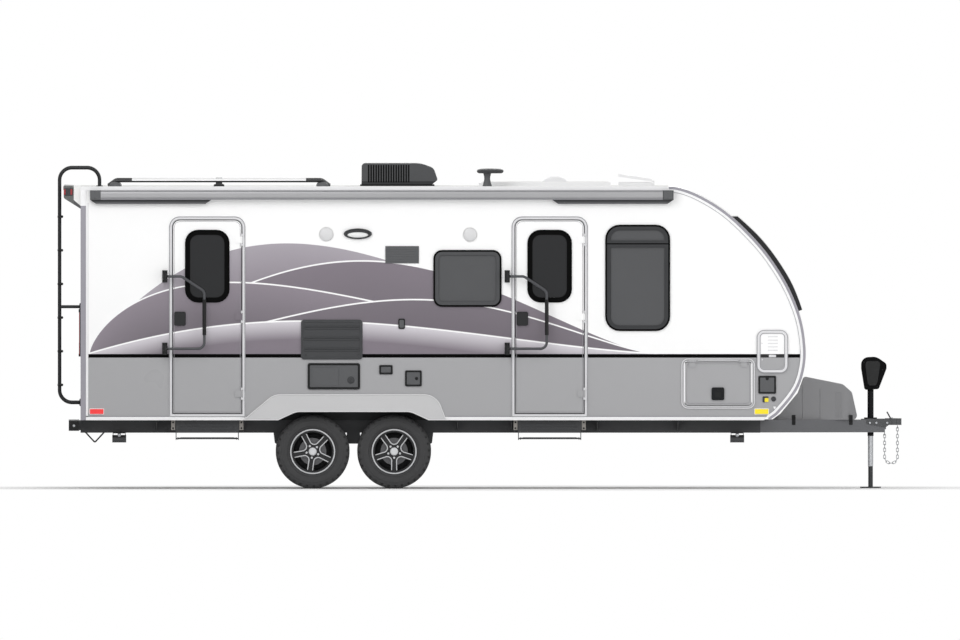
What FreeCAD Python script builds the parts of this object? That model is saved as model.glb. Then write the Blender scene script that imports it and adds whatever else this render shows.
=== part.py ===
import FreeCAD, Part
import math
import os
import re
from types import SimpleNamespace

# Travel caravan on two axles, parked on its wheels and its tongue jack.
# Millimetres. +X points to the coupling, +Y to the left, +Z up. The origin is on the
# ground, on the centre line, halfway between the ladder and the coupling.

os.makedirs("parts", exist_ok=True)
doc = FreeCAD.newDocument("Caravan")
Vec = FreeCAD.Vector

SIZES = {
    # body shell
    "body_back": -3705, "nose_start": 1769, "nose_length": 1274, "floor_under": 636,
    "roof_top": 2811, "body_width": 2438, "skin": 40, "wall": 40, "floor_depth": 60,
    # frame and tongue
    "rail_height": 118, "rail_width": 50, "rail_web": 6, "rail_inset": 190,
    "rail_flange": 8, "rail_setback": 423, "member_width": 60, "root_setback": 943, "root_inset": 190,
    "tongue_reach": 737, "tongue_tip_half": 50, "arm_width": 50, "tongue_plate": 8, "hanger_plate": 6,
    "bumper_depth": 97, "bumper_height": 94, "bumper_inset": 99, "bumper_wall": 4, "bumper_gap": 13,
    # running gear
    "rear_axle_x": -1545, "axle_spacing": 758, "wheel_inset": 199, "tyre_radius": 344,
    "tyre_width": 205, "rim_radius": 190.5, "rim_width": 150, "rim_flange": 19, "rim_shell": 7,
    "axle_tube": 60, "spindle": 38, "spring_span": 660, "spring_width": 45,
    "spring_rise": 96, "leaf": 8, "eye_radius": 20, "pin": 14, "running_fit": 0.5,
    # wheel face
    "face_level": 29, "face_depth": 22, "face_rib": 5, "rib_width": 9, "window_apex": 72,
    "window_round": 37, "window_outer": 180, "spoke_half_angle": 9, "nut_circle": 57, "nut": 10,
    "hub_cap": 33, "drum_radius": 127,
    # wheel opening
    "arch_rise": 77, "arch_low_half": 700, "arch_high_half": 532, "arch_bend": 170, "well_rise": 164,
    "well_clearance": 37.5, "well_wall": 6, "well_gap": 50, "skirt_proud": 12,
    "skirt_rise": 242, "skirt_back": 1030, "skirt_front": 866, "skirt_back_lean": 287,
    "skirt_front_lean": 92, "skirt_bend": 170,
    # entry doors
    "rear_door_x": -2526, "front_door_x": 660, "door_width": 634, "door_height": 1791,
    "door_step_up": 68, "door_gap": 7, "door_jamb": 12, "door_face": 31,
    "door_radius": 62, "face_proud": 8, "leaf_proud": 6, "leaf_depth": 40,
    "door_light_width": 411, "door_light_height": 674, "door_light_rise": 1029,
    "door_light_radius": 121, "door_light_rim": 46, "rim_proud": 8, "glass": 6,
    "hinge_radius": 7, "hinge_pin": 7, "knuckle": 60,
    "latch_rise": 817, "latch_height": 121, "latch_width": 98, "latch_inset": 14, "latch_proud": 22,
    # folding grab handles
    "handle_setback": 78, "handle_out": 82, "handle_tube": 25, "handle_rise": 1271,
    "handle_height": 673, "handle_flat": 156, "handle_reach": 368, "handle_drop": 140,
    "handle_bend": 60, "handle_pin": 10, "handle_base": 8, "grip_tube": 36, "grip_rise": 127,
    "grip_length": 331,
    # windows
    "side_window_x": -105, "side_window_width": 627, "side_window_height": 522,
    "side_window_sill": 1695, "side_window_radius": 78,
    "tall_window_x": 1479, "tall_window_width": 596, "tall_window_height": 982,
    "tall_window_sill": 1470, "tall_window_radius": 130,
    "window_face": 44, "window_lap": 24, "window_proud": 12, "window_bar": 50,
    "nose_window_low": 1650, "nose_window_high": 2532, "nose_window_inset": 339,
    "nose_window_proud": 43, "nose_window_lean": 27,
    # luggage doors
    "locker_setback": 815, "locker_width": 686, "locker_height": 469, "locker_rise": 107,
    "locker_radius": 60, "locker_face": 28,
    # roof
    "awning_back_inset": 88, "awning_front_reach": 44, "awning_drop": 31,
    "awning_height": 92, "awning_depth": 84, "awning_cap": 98,
    "arm_rest_length": 1130, "arm_rest_height": 38, "arm_rest_depth": 46, "arm_rest_slant": 56,
    "cooler_x": -756, "cooler_length": 698, "cooler_width": 700, "cooler_height": 212,
    "cooler_fins": 17, "cooler_fin_pitch": 23.3, "cooler_slot": 10, "cooler_slot_depth": 12,
    "rack_back_inset": 242, "rack_length": 2093, "rack_inset": 319, "rack_rise": 53,
    "rack_tube": 33, "rack_slope": 90, "rack_bend": 60, "rack_collar": 60,
    "hatch_x": 1454, "hatch_size": 310, "hatch_curb": 34,
    "hatch_tilt": 8, "hatch_hinge": 18, "hatch_barrel": 14,
    "skylight_back": 2, "skylight_front": 1227, "skylight_half": 340,
    "skylight_height": 34, "dome_x": 707, "dome_radius": 128, "dome_height": 60,
    "mast_x": 77, "mast_inset": 599, "mast_rise": 126, "mast_disc": 126,
    # tail
    "ladder_inset": 519, "ladder_half": 200, "ladder_tube": 34, "ladder_setback": 195,
    "ladder_low": 800, "ladder_over": 173, "ladder_reach": 177,
    "ladder_rung": 963, "rung_pitch": 313, "ladder_bend": 115, "ladder_stay": 1690,
    "rung_width": 40, "rung_depth": 16,
    "pod_setback": 157, "pod_rise": 7, "pod_height": 214, "pod_inset": 89,
    "tail_lamp_inset": 129, "tail_lamp_width": 120, "tail_lamp_low": 1243, "tail_lamp_height": 400,
    "marker_length": 125, "marker_height": 45, "marker_rise": 59, "marker_proud": 14,
    "marker_inset": 88, "marker_setback": 473,
    # tongue fittings
    "jack_setback": 134, "jack_tube": 57, "jack_bore": 51, "leg_tube": 50.4,
    "jack_drop": 152, "jack_head_rise": 276, "jack_head": 310, "leg_top_drop": 76,
    "foot_radius": 98, "foot_plate": 12, "drop_leg": 44, "drop_top": 203,
    "cover_gap": 19, "cover_length": 505, "cover_rise": 402, "cover_half": 300, "cover_clear": 28,
    "flute_depth": 7, "ball_reach": 114, "ball_drop": 30, "ball_socket": 25.6,
    "cup_radius": 40, "flange_back": 177, "chain_wire": 7, "chain_pitch": 32, "chain_width": 27,
    "chain_hole": 7, "chain_half": 52,
    # steps
    "step_half": 286, "step_inset": 69, "step_drop": 170, "step_arm": 200,
    "step_tread": 180, "step_plate": 15, "step_open": 53, "step_pin": 12, "step_strap": 36,
    # corner stabilisers
    "prop_back_inset": 360, "prop_setback": 638, "prop_inset": 400,
    "prop_drop": 170, "prop_length": 560, "prop_square": 40, "prop_cheek": 6,
    "prop_bracket": 120, "prop_pin": 16,
}

# places that follow from the sizes above
PLACES = {
    "track": "body_width - 2 * wheel_inset",
    "rail_gauge": "track - 2 * rail_inset",
    "well_side": "track / 2 - tyre_width / 2 - well_clearance",
    "arch_top": "floor_under + arch_rise",
    "well_top": "floor_under + well_rise",
    "skirt_top": "floor_under + skirt_rise",
    "spring_eye_z": "tyre_radius + spring_rise",
    "bumper_width": "body_width - 2 * bumper_inset",
    "nose_front": "nose_start + nose_length",
    "rail_front": "nose_front - rail_setback",
    "tongue_root": "nose_front - root_setback",
    "tongue_root_half": "rail_gauge / 2 - root_inset",
    "tongue_tip": "nose_front + tongue_reach",
    "jack_x": "tongue_tip - jack_setback",
    "jack_low": "floor_under - jack_drop",
    "jack_head_low": "floor_under + jack_head_rise",
    "jack_head_top": "jack_head_low + jack_head",
    "leg_top": "floor_under - leg_top_drop",
    "ball_x": "tongue_tip + ball_reach",
    "ball_z": "floor_under - ball_drop",
    "cover_back": "nose_front - cover_gap",
    "cover_front": "cover_back + cover_length",
    "cover_top": "floor_under + cover_rise",
    "door_sill": "floor_under + door_step_up",
    "door_light_sill": "door_sill + door_light_rise",
    "latch_low": "door_sill + latch_rise",
    "handle_high": "door_sill + handle_rise",
    "handle_low": "handle_high - handle_height",
    "grip_low": "handle_low + grip_rise",
    "nose_window_width": "body_width - 2 * nose_window_inset",
    "locker_x": "nose_front - locker_setback",
    "locker_sill": "floor_under + locker_rise",
    "awning_back": "body_back + awning_back_inset",
    "awning_front": "nose_start + awning_front_reach",
    "awning_high": "roof_top - awning_drop",
    "awning_low": "awning_high - awning_height",
    "rack_back": "body_back + rack_back_inset",
    "rack_front": "rack_back + rack_length",
    "rack_half": "body_width / 2 - rack_inset",
    "mast_y": "mast_inset - body_width / 2",
    "mast_top": "roof_top + mast_rise",
    "ladder_y": "ladder_inset - body_width / 2",
    "ladder_back": "body_back - ladder_setback",
    "ladder_high": "roof_top + ladder_over",
    "ladder_front": "body_back + ladder_reach",
    "pod_back": "body_back - pod_setback",
    "pod_top": "roof_top + pod_rise",
    "pod_low": "roof_top + pod_rise - pod_height",
    "pod_half": "body_width / 2 - pod_inset",
    "step_pivot_y": "body_width / 2 - step_inset",
    "step_pivot_z": "floor_under - step_drop",
    "prop_back_x": "body_back + prop_back_inset",
    "prop_front_x": "nose_front - prop_setback",
    "prop_pivot_y": "rail_gauge / 2 - prop_inset",
    "prop_pivot_z": "floor_under - prop_drop",
}

# stations along the frame
OUTRIGGERS = (-3000, -2190, -200, 300, 1100, 1850)
CROSS_MEMBERS = (-2100, -1165, 200, 1300)

sheet = doc.addObject("Spreadsheet::Sheet", "Sizes")
cells = {alias: str(number) for alias, number in SIZES.items()}
cells.update({alias: "=" + text for alias, text in PLACES.items()})
for row, (alias, content) in enumerate(cells.items(), start=1):
    sheet.set(f"A{row}", alias)
    sheet.set(f"B{row}", content)
    sheet.setAlias(f"B{row}", alias)
doc.recompute()
S = SimpleNamespace(**{alias: float(sheet.get(alias)) for alias in cells})

pieces = []
used_names = set()


# binding and document helpers

def formula(text):
    """Every size's name in an expression points at its cell."""
    return re.sub(r"[a-z_]+", lambda m: "Sizes." + m.group() if m.group() in cells else m.group(), text)


def bind(thing, prop, text):
    thing.setExpression(prop, formula(text))


def new(kind, name):
    """A document object with a name of its own."""
    count = 1
    unique = name
    while unique in used_names:
        count += 1
        unique = f"{name}_{count}"
    used_names.add(unique)
    return doc.addObject(kind, unique)


def block(name, x0, x1, y0, y1, z0, z1):
    """A box between expressions along X, Y and Z."""
    solid = new("Part::Box", name)
    for prop, low, high in (("Length", x0, x1), ("Width", y0, y1), ("Height", z0, z1)):
        bind(solid, prop, f"({high}) - ({low})")
    for axis, low in (("x", x0), ("y", y0), ("z", z0)):
        bind(solid, f"Placement.Base.{axis}", low)
    return solid


def rod(name, radius, length, x, y, z, along):
    """A cylinder that starts at x, y, z and runs along +X, +Y or +Z."""
    solid = new("Part::Cylinder", name)
    turn = {"x": (Vec(0, 1, 0), 90), "y": (Vec(1, 0, 0), -90), "z": (Vec(0, 0, 1), 0)}[along]
    solid.Placement = FreeCAD.Placement(Vec(), FreeCAD.Rotation(*turn))
    bind(solid, "Radius", radius)
    bind(solid, "Height", length)
    for axis, text in (("x", x), ("y", y), ("z", z)):
        bind(solid, f"Placement.Base.{axis}", text)
    return solid


def pad(name, plane, edges, start, length):
    """A body with one sketch on an origin plane, padded along that plane's axis."""
    body = new("PartDesign::Body", name)
    sketch = body.newObject("Sketcher::SketchObject", body.Name + "_outline")
    origin = [f for f in body.Origin.OriginFeatures if f.Role == plane + "_Plane"][0]
    sketch.AttachmentSupport = [(origin, "")]
    sketch.MapMode = "FlatFace"
    for edge in edges:
        sketch.addGeometry(edge, False)
    sign = "-1 * " if plane == "XZ" else ""
    bind(sketch, "AttachmentOffset.Base.z", f"{sign}({start})")
    extrusion = body.newObject("PartDesign::Pad", body.Name + "_pad")
    extrusion.Profile = sketch
    extrusion.Reversed = plane == "XZ"
    bind(extrusion, "Length", length)
    body.Tip = extrusion
    return body


def turned(name, x, z, edges):
    """A body revolved about an axis along Y through x, z; its sketch is (radius, y)."""
    body = new("PartDesign::Body", name)
    sketch = body.newObject("Sketcher::SketchObject", body.Name + "_outline")
    origin = [f for f in body.Origin.OriginFeatures if f.Role == "XY_Plane"][0]
    sketch.AttachmentSupport = [(origin, "")]
    sketch.MapMode = "FlatFace"
    for edge in edges:
        sketch.addGeometry(edge, False)
    spin = body.newObject("PartDesign::Revolution", body.Name + "_turn")
    spin.Profile = sketch
    spin.ReferenceAxis = (sketch, ["V_Axis"])
    spin.Angle = 360
    body.Tip = spin
    bind(body, "Placement.Base.x", x)
    bind(body, "Placement.Base.z", z)
    return body


def fuse(name, solids):
    if len(solids) == 1:
        return solids[0]
    joined = new("Part::MultiFuse", name)
    joined.Shapes = solids
    joined.Refine = True
    return joined


def cut(name, base, tools):
    result = new("Part::Cut", name)
    result.Base = base
    result.Tool = fuse(name + "_tools", tools)
    result.Refine = True
    return result


def common(name, base, tool):
    result = new("Part::Common", name)
    result.Base = base
    result.Tool = tool
    return result


def group(name, solids):
    """Like solids that do not touch, kept in one node."""
    bundle = new("Part::Compound", name)
    bundle.Links = solids
    return bundle


def shaped(name, shape):
    """A feature whose shape is worked out from the sheet's values in this file."""
    feature = new("Part::Feature", name)
    feature.Shape = shape
    return feature


def keep(node, piece):
    piece.Label = node
    pieces.append(piece)
    return piece


# outlines

def lines(points):
    """A closed outline of straight runs."""
    spots = [Vec(p[0], p[1], 0) for p in points]
    return [Part.LineSegment(a, b) for a, b in zip(spots, spots[1:] + spots[:1])]


def rounded(points, radii):
    """A closed outline whose corners are arcs; a radius of zero leaves a corner sharp."""
    spots = [Vec(p[0], p[1], 0) for p in points]
    starts, ends, arcs = [], [], []
    for index, corner in enumerate(spots):
        before, after = spots[index - 1], spots[(index + 1) % len(spots)]
        radius = radii[index]
        if radius <= 0:
            starts.append(corner)
            ends.append(corner)
            arcs.append(None)
            continue
        back, ahead = (before - corner).normalize(), (after - corner).normalize()
        half = back.getAngle(ahead) / 2
        reach = radius / math.tan(half)
        centre = corner + (back + ahead).normalize() * (radius / math.sin(half))
        middle = centre + (corner - centre).normalize() * radius
        starts.append(corner + back * reach)
        ends.append(corner + ahead * reach)
        arcs.append(Part.Arc(starts[-1], middle, ends[-1]))
    edges = []
    for index in range(len(spots)):
        if arcs[index]:
            edges.append(arcs[index])
        nxt = (index + 1) % len(spots)
        if (starts[nxt] - ends[index]).Length > 1e-6:
            edges.append(Part.LineSegment(ends[index], starts[nxt]))
    return edges


def slab(x, width, sill, height, top_radius, low_radius=None, grow=0.0):
    """A rounded rectangle in the XZ plane, grown or shrunk all round."""
    low = top_radius if low_radius is None else low_radius
    half = width / 2 + grow
    corners = [(x - half, sill - grow), (x + half, sill - grow),
               (x + half, sill + height + grow), (x - half, sill + height + grow)]
    top = max(top_radius + grow, 1.0)
    bottom = max(low + grow, 1.0) if low > 0 else 0
    return rounded(corners, [bottom, bottom, top, top])


def tube(points, bend, radius):
    """A round bar along straight runs joined by tangent arcs."""
    spots = [Vec(*p) for p in points]
    edges, here = [], spots[0]
    for index in range(1, len(spots) - 1):
        corner, before, after = spots[index], spots[index - 1], spots[index + 1]
        back, ahead = (before - corner).normalize(), (after - corner).normalize()
        half = back.getAngle(ahead) / 2
        reach = bend / math.tan(half)
        centre = corner + (back + ahead).normalize() * (bend / math.sin(half))
        middle = centre + (corner - centre).normalize() * bend
        first, last = corner + back * reach, corner + ahead * reach
        edges.append(Part.LineSegment(here, first).toShape())
        edges.append(Part.Arc(first, middle, last).toShape())
        here = last
    edges.append(Part.LineSegment(here, spots[-1]).toShape())
    path = Part.Wire(edges)
    ring = Part.Wire([Part.Circle(spots[0], spots[1] - spots[0], radius).toShape()])
    return path.makePipeShell([ring], True, True)


# nose curve: shares of the nose's length and of the body's height, measured in side view
NOSE_SHARES = [(0, 1), (0.0967, 0.9915), (0.2936, 0.9401), (0.4241, 0.8888), (0.5692, 0.8118),
               (0.6893, 0.7348), (0.7855, 0.6578), (0.864, 0.5808), (0.9245, 0.5038), (0.9686, 0.4267),
               (0.997, 0.3241), (1, 0.2759), (0.976, 0.187), (0.919, 0.1136), (0.793, 0.0248),
               (0.735, 0)]


def nose_curve(inset):
    """The nose from the roof to the floor, moved inwards by inset, in sketch coordinates."""
    height = S.roof_top - S.floor_under
    spots = [Vec(S.nose_start + u * S.nose_length, S.floor_under + w * height, 0) for u, w in NOSE_SHARES]
    outer = Part.BSplineCurve()
    outer.interpolate(Points=spots, InitialTangent=Vec(1, 0, 0), FinalTangent=Vec(-1, -0.7, 0))
    if not inset:
        return outer
    moved = []
    steps = 30
    for step in range(steps + 1):
        at = outer.FirstParameter + (outer.LastParameter - outer.FirstParameter) * step / steps
        ahead = outer.tangent(at)[0]
        moved.append(outer.value(at) + Vec(ahead.y, -ahead.x, 0) * inset)
    inner = Part.BSplineCurve()
    inner.interpolate(Points=moved, InitialTangent=Vec(1, 0, 0), FinalTangent=Vec(-1, -0.7, 0))
    return inner


def ends(curve):
    return curve.value(curve.FirstParameter), curve.value(curve.LastParameter)


def side_outline():
    """The side wall's outline, inside the roof, nose and tail skins."""
    curve = nose_curve(S.skin)
    high, low = ends(curve)
    back, under = S.body_back + S.skin, S.floor_under
    corner = Vec(low.x - (low.y - under), under, 0)
    spots = [low, corner, Vec(back, under, 0), Vec(back, high.y, 0), high]
    return [curve] + [Part.LineSegment(a, b) for a, b in zip(spots, spots[1:])]


half_width = "body_width / 2"
inner_half = "body_width / 2 - wall"


def windows_of(side):
    """Outer outlines of the windows of one side: centre, width, sill, height, radius."""
    short = (S.side_window_width, S.side_window_sill, S.side_window_height, S.side_window_radius)
    tall = (S.tall_window_width, S.tall_window_sill, S.tall_window_height, S.tall_window_radius)
    if side == "right":
        return [(S.side_window_x, *short), (S.tall_window_x, *tall)]
    return [(S.rear_door_x, *short), (S.side_window_x, *short), (S.tall_window_x, *tall)]


def build_shell():
    """Roof, nose, tail and side walls, each as thick as the whole panel, and the floor."""
    keep("roof", block("roof", "body_back", "nose_start", f"-({half_width})", half_width,
                       "roof_top - skin", "roof_top"))
    keep("rear_wall", block("rear_wall", "body_back", "body_back + skin", f"-({half_width})", half_width,
                            "floor_under", "roof_top - skin"))
    outer, inner = nose_curve(0), nose_curve(S.skin)
    outer_ends, inner_ends = ends(outer), ends(inner)
    nose_edges = [outer, Part.LineSegment(outer_ends[1], inner_ends[1]), inner,
                  Part.LineSegment(inner_ends[0], outer_ends[0])]
    keep("nose", pad("nose", "XZ", nose_edges, f"-({half_width})", "body_width"))
    floor_slab = block("floor_slab", "body_back + skin", "nose_start + nose_length", f"-({inner_half})",
                       inner_half, "floor_under", "floor_under + floor_depth")
    inside = pad("floor_limit", "XZ", side_outline(), f"-({inner_half})", "body_width - 2 * wall")
    wells = []
    for sign in (1, -1):
        low, high = ("well_side", inner_half) if sign > 0 else (f"-({inner_half})", "-well_side")
        wells.append(block("well_hole", well_back, well_front, low, high,
                           "floor_under", "floor_under + floor_depth"))
    keep("floor", cut("floor", common("floor_plan", floor_slab, inside), wells))
    for side, start in (("right", f"-({half_width})"), ("left", inner_half)):
        sheet_solid = pad(f"{side}_blank", "XZ", side_outline(), start, "wall")
        holes = [pad("arch_hole", "XZ", arch_outline(), start, "wall"),
                 pad("locker_hole", "XZ", slab(S.locker_x, S.locker_width, S.locker_sill, S.locker_height,
                                               S.locker_radius, grow=-S.locker_face + S.door_jamb),
                     start, "wall")]
        for x, width, sill, height, radius in windows_of(side):
            holes.append(pad("window_hole", "XZ", slab(x, width, sill, height, radius, grow=-S.window_lap),
                             start, "wall"))
        if side == "right":
            for x in (S.rear_door_x, S.front_door_x):
                holes.append(pad("door_hole", "XZ", door_outline(x, S.door_gap + S.door_jamb), start, "wall"))
        keep(f"{side}_wall", cut(f"{side}_wall", sheet_solid, holes))


def door_outline(x, grow):
    return slab(x, S.door_width, S.door_sill, S.door_height, S.door_radius, 0, grow)


well_back = "rear_axle_x - tyre_radius - well_gap"
well_front = "rear_axle_x + axle_spacing + tyre_radius + well_gap"


def arch_outline():
    """The wheel opening's edge, seen from the side."""
    middle = S.rear_axle_x + S.axle_spacing / 2
    low = S.floor_under
    return lines([(middle - S.arch_low_half, low), (middle + S.arch_low_half, low),
                  (middle + S.arch_high_half, S.arch_top), (middle - S.arch_high_half, S.arch_top)])


def build_wheel_wells():
    """Pans over each pair of wheels, open below and at the wheel opening, and the outer skirts."""
    pans, skirts = [], []
    for sign in (1, -1):
        def span(low, high):
            return (low, high) if sign > 0 else (f"-({high})", f"-({low})")
        shell = block("well_shell", well_back, well_front, *span("well_side", inner_half),
                      "floor_under", "well_top")
        hollow = block("well_hollow", f"{well_back} + well_wall", f"{well_front} - well_wall",
                       *span("well_side + well_wall", inner_half), "floor_under", "well_top - well_wall")
        pans.append(cut("well_pan", shell, [hollow]))
        middle = S.rear_axle_x + S.axle_spacing / 2
        low = S.floor_under
        plan = rounded([(middle - S.skirt_back, low), (middle - S.arch_low_half, low),
                        (middle - S.arch_high_half, S.arch_top), (middle + S.arch_high_half, S.arch_top),
                        (middle + S.arch_low_half, low), (middle + S.skirt_front, low),
                        (middle + S.skirt_front - S.skirt_front_lean, S.skirt_top),
                        (middle - S.skirt_back + S.skirt_back_lean, S.skirt_top)],
                       [0, 0, S.arch_bend, S.arch_bend, 0, 0, S.skirt_bend, S.skirt_bend])
        start = half_width if sign > 0 else f"-({half_width}) - skirt_proud"
        skirts.append(pad("skirt", "XZ", plan, start, "skirt_proud"))
    keep("wheel_wells", group("wheel_wells", pans))
    keep("fender_skirts", group("fender_skirts", skirts))


def build_windows():
    """Framed windows: a face on the outside, a sleeve through the wall, and the pane."""
    frames, panes = [], []
    for side in ("right", "left"):
        outer_face = f"-({half_width}) - window_proud" if side == "right" else half_width
        sleeve = f"-({half_width})" if side == "right" else inner_half
        pane_start = f"-({half_width})" if side == "right" else f"{half_width} - glass"
        for x, width, sill, height, radius in windows_of(side):
            face = pad("window_face", "XZ", slab(x, width, sill, height, radius), outer_face, "window_proud")
            liner = pad("window_liner", "XZ", slab(x, width, sill, height, radius, grow=-S.window_lap),
                        sleeve, "wall")
            hole = pad("window_void", "XZ", slab(x, width, sill, height, radius, grow=-S.window_face),
                       f"{sleeve} - window_proud", "wall + 2 * window_proud")
            solids = [cut("window_ring", fuse("window_blank", [face, liner]), [hole])]
            lights = [(sill + S.window_face, height - 2 * S.window_face)]
            if height > S.side_window_height * 1.2:
                bar_low = sill + height * 0.797
                solids.append(block("window_bar", f"{x - width / 2 + S.window_face}",
                                    f"{x + width / 2 - S.window_face}", outer_face,
                                    f"{outer_face} + window_proud + wall / 2" if side == "right"
                                    else f"{half_width} + window_proud",
                                    f"{bar_low}", f"{bar_low} + window_bar"))
                if side == "left":
                    bind(solids[-1], "Placement.Base.y", f"{half_width} - wall / 2")
                    bind(solids[-1], "Width", "wall / 2 + window_proud")
                solids = [fuse("window_frame", solids)]
                lights = [(sill + S.window_face, bar_low - sill - S.window_face),
                          (bar_low + S.window_bar, sill + height - S.window_face - bar_low - S.window_bar)]
            frames.append(solids[0])
            for number, (low, tall) in enumerate(lights):
                pane = pad("pane_blank", "XZ", slab(x, width, sill, height, radius, grow=-S.window_face),
                           pane_start, "glass")
                band = block("pane_band", f"{x - width}", f"{x + width}", pane_start, f"{pane_start} + glass",
                             f"{low}", f"{low + tall}")
                panes.append(common(f"pane_{number}", pane, band))
    keep("window_frames", group("window_frames", frames))
    keep("window_panes", group("window_panes", panes))
    curve = nose_curve(0)
    low_at, high_at = [nearest_height(curve, z) for z in (S.nose_window_low, S.nose_window_high)]
    seat = curve.copy()
    seat.segment(high_at, low_at)
    face_at = nearest_height(curve, S.nose_window_high - S.nose_window_lean)
    moved = []
    steps = 8
    for step in range(steps + 1):
        at = face_at + (low_at - face_at) * step / steps
        ahead = curve.tangent(at)[0]
        share = 0.82 + 0.18 * min(1, 4 * step / steps, 4 * (steps - step) / steps)
        moved.append(curve.value(at) - Vec(ahead.y, -ahead.x, 0) * S.nose_window_proud * share)
    face = Part.BSplineCurve()
    face.interpolate(moved)
    seat_ends, face_ends = ends(seat), ends(face)
    edges = [seat, Part.LineSegment(seat_ends[1], face_ends[1]), face, Part.LineSegment(face_ends[0], seat_ends[0])]
    keep("nose_window", pad("nose_window", "XZ", edges, "-nose_window_width / 2", "nose_window_width"))


def nearest_height(curve, height):
    """The nose curve's parameter at a height on its upper, forward side."""
    low, high = curve.FirstParameter, curve.LastParameter
    for _ in range(60):
        middle = (low + high) / 2
        if curve.value(middle).y > height:
            low = middle
        else:
            high = middle
    return (low + high) / 2


def build_doors():
    """Door frames, leaves with their lights and latches, and the hinges between them."""
    frames = []
    for label, x, x_name in (("rear", S.rear_door_x, "rear_door_x"), ("front", S.front_door_x, "front_door_x")):
        face_start = f"-({half_width}) - face_proud"
        ring = [pad("door_face", "XZ", door_outline(x, S.door_gap + S.door_face), face_start, "face_proud"),
                pad("door_jamb", "XZ", door_outline(x, S.door_gap + S.door_jamb), f"-({half_width})", "wall")]
        void = pad("door_void", "XZ", door_outline(x, S.door_gap), f"{face_start} - 1", "wall + face_proud + 2")
        axis_x = f"({x_name} + door_width / 2 + door_gap / 2)"
        axis_y = f"(-({half_width}) - face_proud - hinge_radius - 1)"
        frame = [cut("door_ring", fuse("door_ring_blank", ring), [void])]
        leaf_start = f"-({half_width}) - leaf_proud"
        leaf = pad("leaf_blank", "XZ", door_outline(x, 0), leaf_start, "leaf_depth")
        light = (x, S.door_light_width, S.door_light_sill, S.door_light_height, S.door_light_radius)
        rim = pad("light_rim", "XZ", slab(*light), f"{leaf_start} - rim_proud", "rim_proud")
        hole = pad("light_hole", "XZ", slab(*light, grow=-S.door_light_rim), f"{leaf_start} - rim_proud - 1",
                   "leaf_depth + rim_proud + 2")
        pull_x = f"{x_name} - door_width / 2 + latch_inset"
        pull = block("latch", pull_x, f"{pull_x} + latch_width", f"{leaf_start} - latch_proud", leaf_start,
                     "latch_low", "latch_low + latch_height")
        moving, bores = [leaf, rim, pull], [hole]
        for share in (0.1, 0.5, 0.9):
            low = f"(door_sill + door_height * {share} - knuckle / 2)"
            strap = block("hinge_strap", f"{axis_x} - 60", axis_x, f"{axis_y}", leaf_start,
                          low, f"{low} + knuckle")
            barrel = rod("hinge_barrel", "hinge_radius", "knuckle", axis_x, axis_y, low, "z")
            moving += [strap, barrel]
            bores.append(rod("hinge_bore", "hinge_pin / 2 + running_fit", "knuckle", axis_x, axis_y, low, "z"))
            pin = rod("hinge_pin_rod", "hinge_pin / 2", "knuckle + 52", axis_x, axis_y, f"{low} - 26", "z")
            frame.append(pin)
            for place in (f"{low} - 26", f"{low} + knuckle + 6"):
                frame.append(rod("hinge_lug", "hinge_radius", "20", axis_x, axis_y, place, "z"))
                frame.append(block("hinge_foot", axis_x, f"{axis_x} + 24", axis_y, face_start,
                                   place, f"{place} + 20"))
        frames.append(fuse("door_frame", frame))
        keep(f"{label}_door", cut(f"{label}_door", fuse("leaf_solid", moving), bores))
        keep(f"{label}_door_glass", pad("door_glass", "XZ", slab(*light, grow=-S.door_light_rim),
                                        f"{leaf_start} + 4", "glass"))
        build_handle(label, x)
    keep("door_frames", group("door_frames", frames + handle_brackets))


handle_brackets = []


def build_handle(label, door_x):
    """A loop-shaped grab rail on two wall brackets, folded flat across the door."""
    x = door_x - S.door_width / 2 - S.handle_setback
    y = -S.body_width / 2 - S.handle_out
    radius = S.handle_tube / 2
    far = x + S.handle_reach
    bar = tube([(x, y, S.handle_high), (x + S.handle_flat, y, S.handle_high),
                (far, y, S.handle_high - S.handle_drop), (far, y, S.handle_low), (x, y, S.handle_low)],
               S.handle_bend, radius)
    grip = Part.makeCylinder(S.grip_tube / 2, S.grip_length, Vec(far, y, S.grip_low))
    for z in (S.handle_high, S.handle_low):
        knuckle = Part.makeCylinder(radius + 4, 66, Vec(x, y, z - 33))
        bar = bar.fuse(knuckle)
        wall_face = -S.body_width / 2
        base = Part.makeBox(48, S.handle_base, 114, Vec(x - 24, wall_face - S.handle_base, z - 57))
        ears = [Part.makeBox(28, S.handle_out + 14 - S.handle_base, 14,
                             Vec(x - 14, wall_face - S.handle_out - 14, z + level)) for level in (-57, 43)]
        pin = Part.makeCylinder(S.handle_pin / 2, 100, Vec(x, y, z - 50))
        handle_brackets.append(shaped("handle_bracket", base.fuse(ears + [pin]).removeSplitter()))
        bar = bar.cut(Part.makeCylinder(S.handle_pin / 2 + S.running_fit, 66, Vec(x, y, z - 33)))
    keep(f"{label}_handle", shaped(f"{label}_handle", bar.fuse(grip).removeSplitter()))


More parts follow.
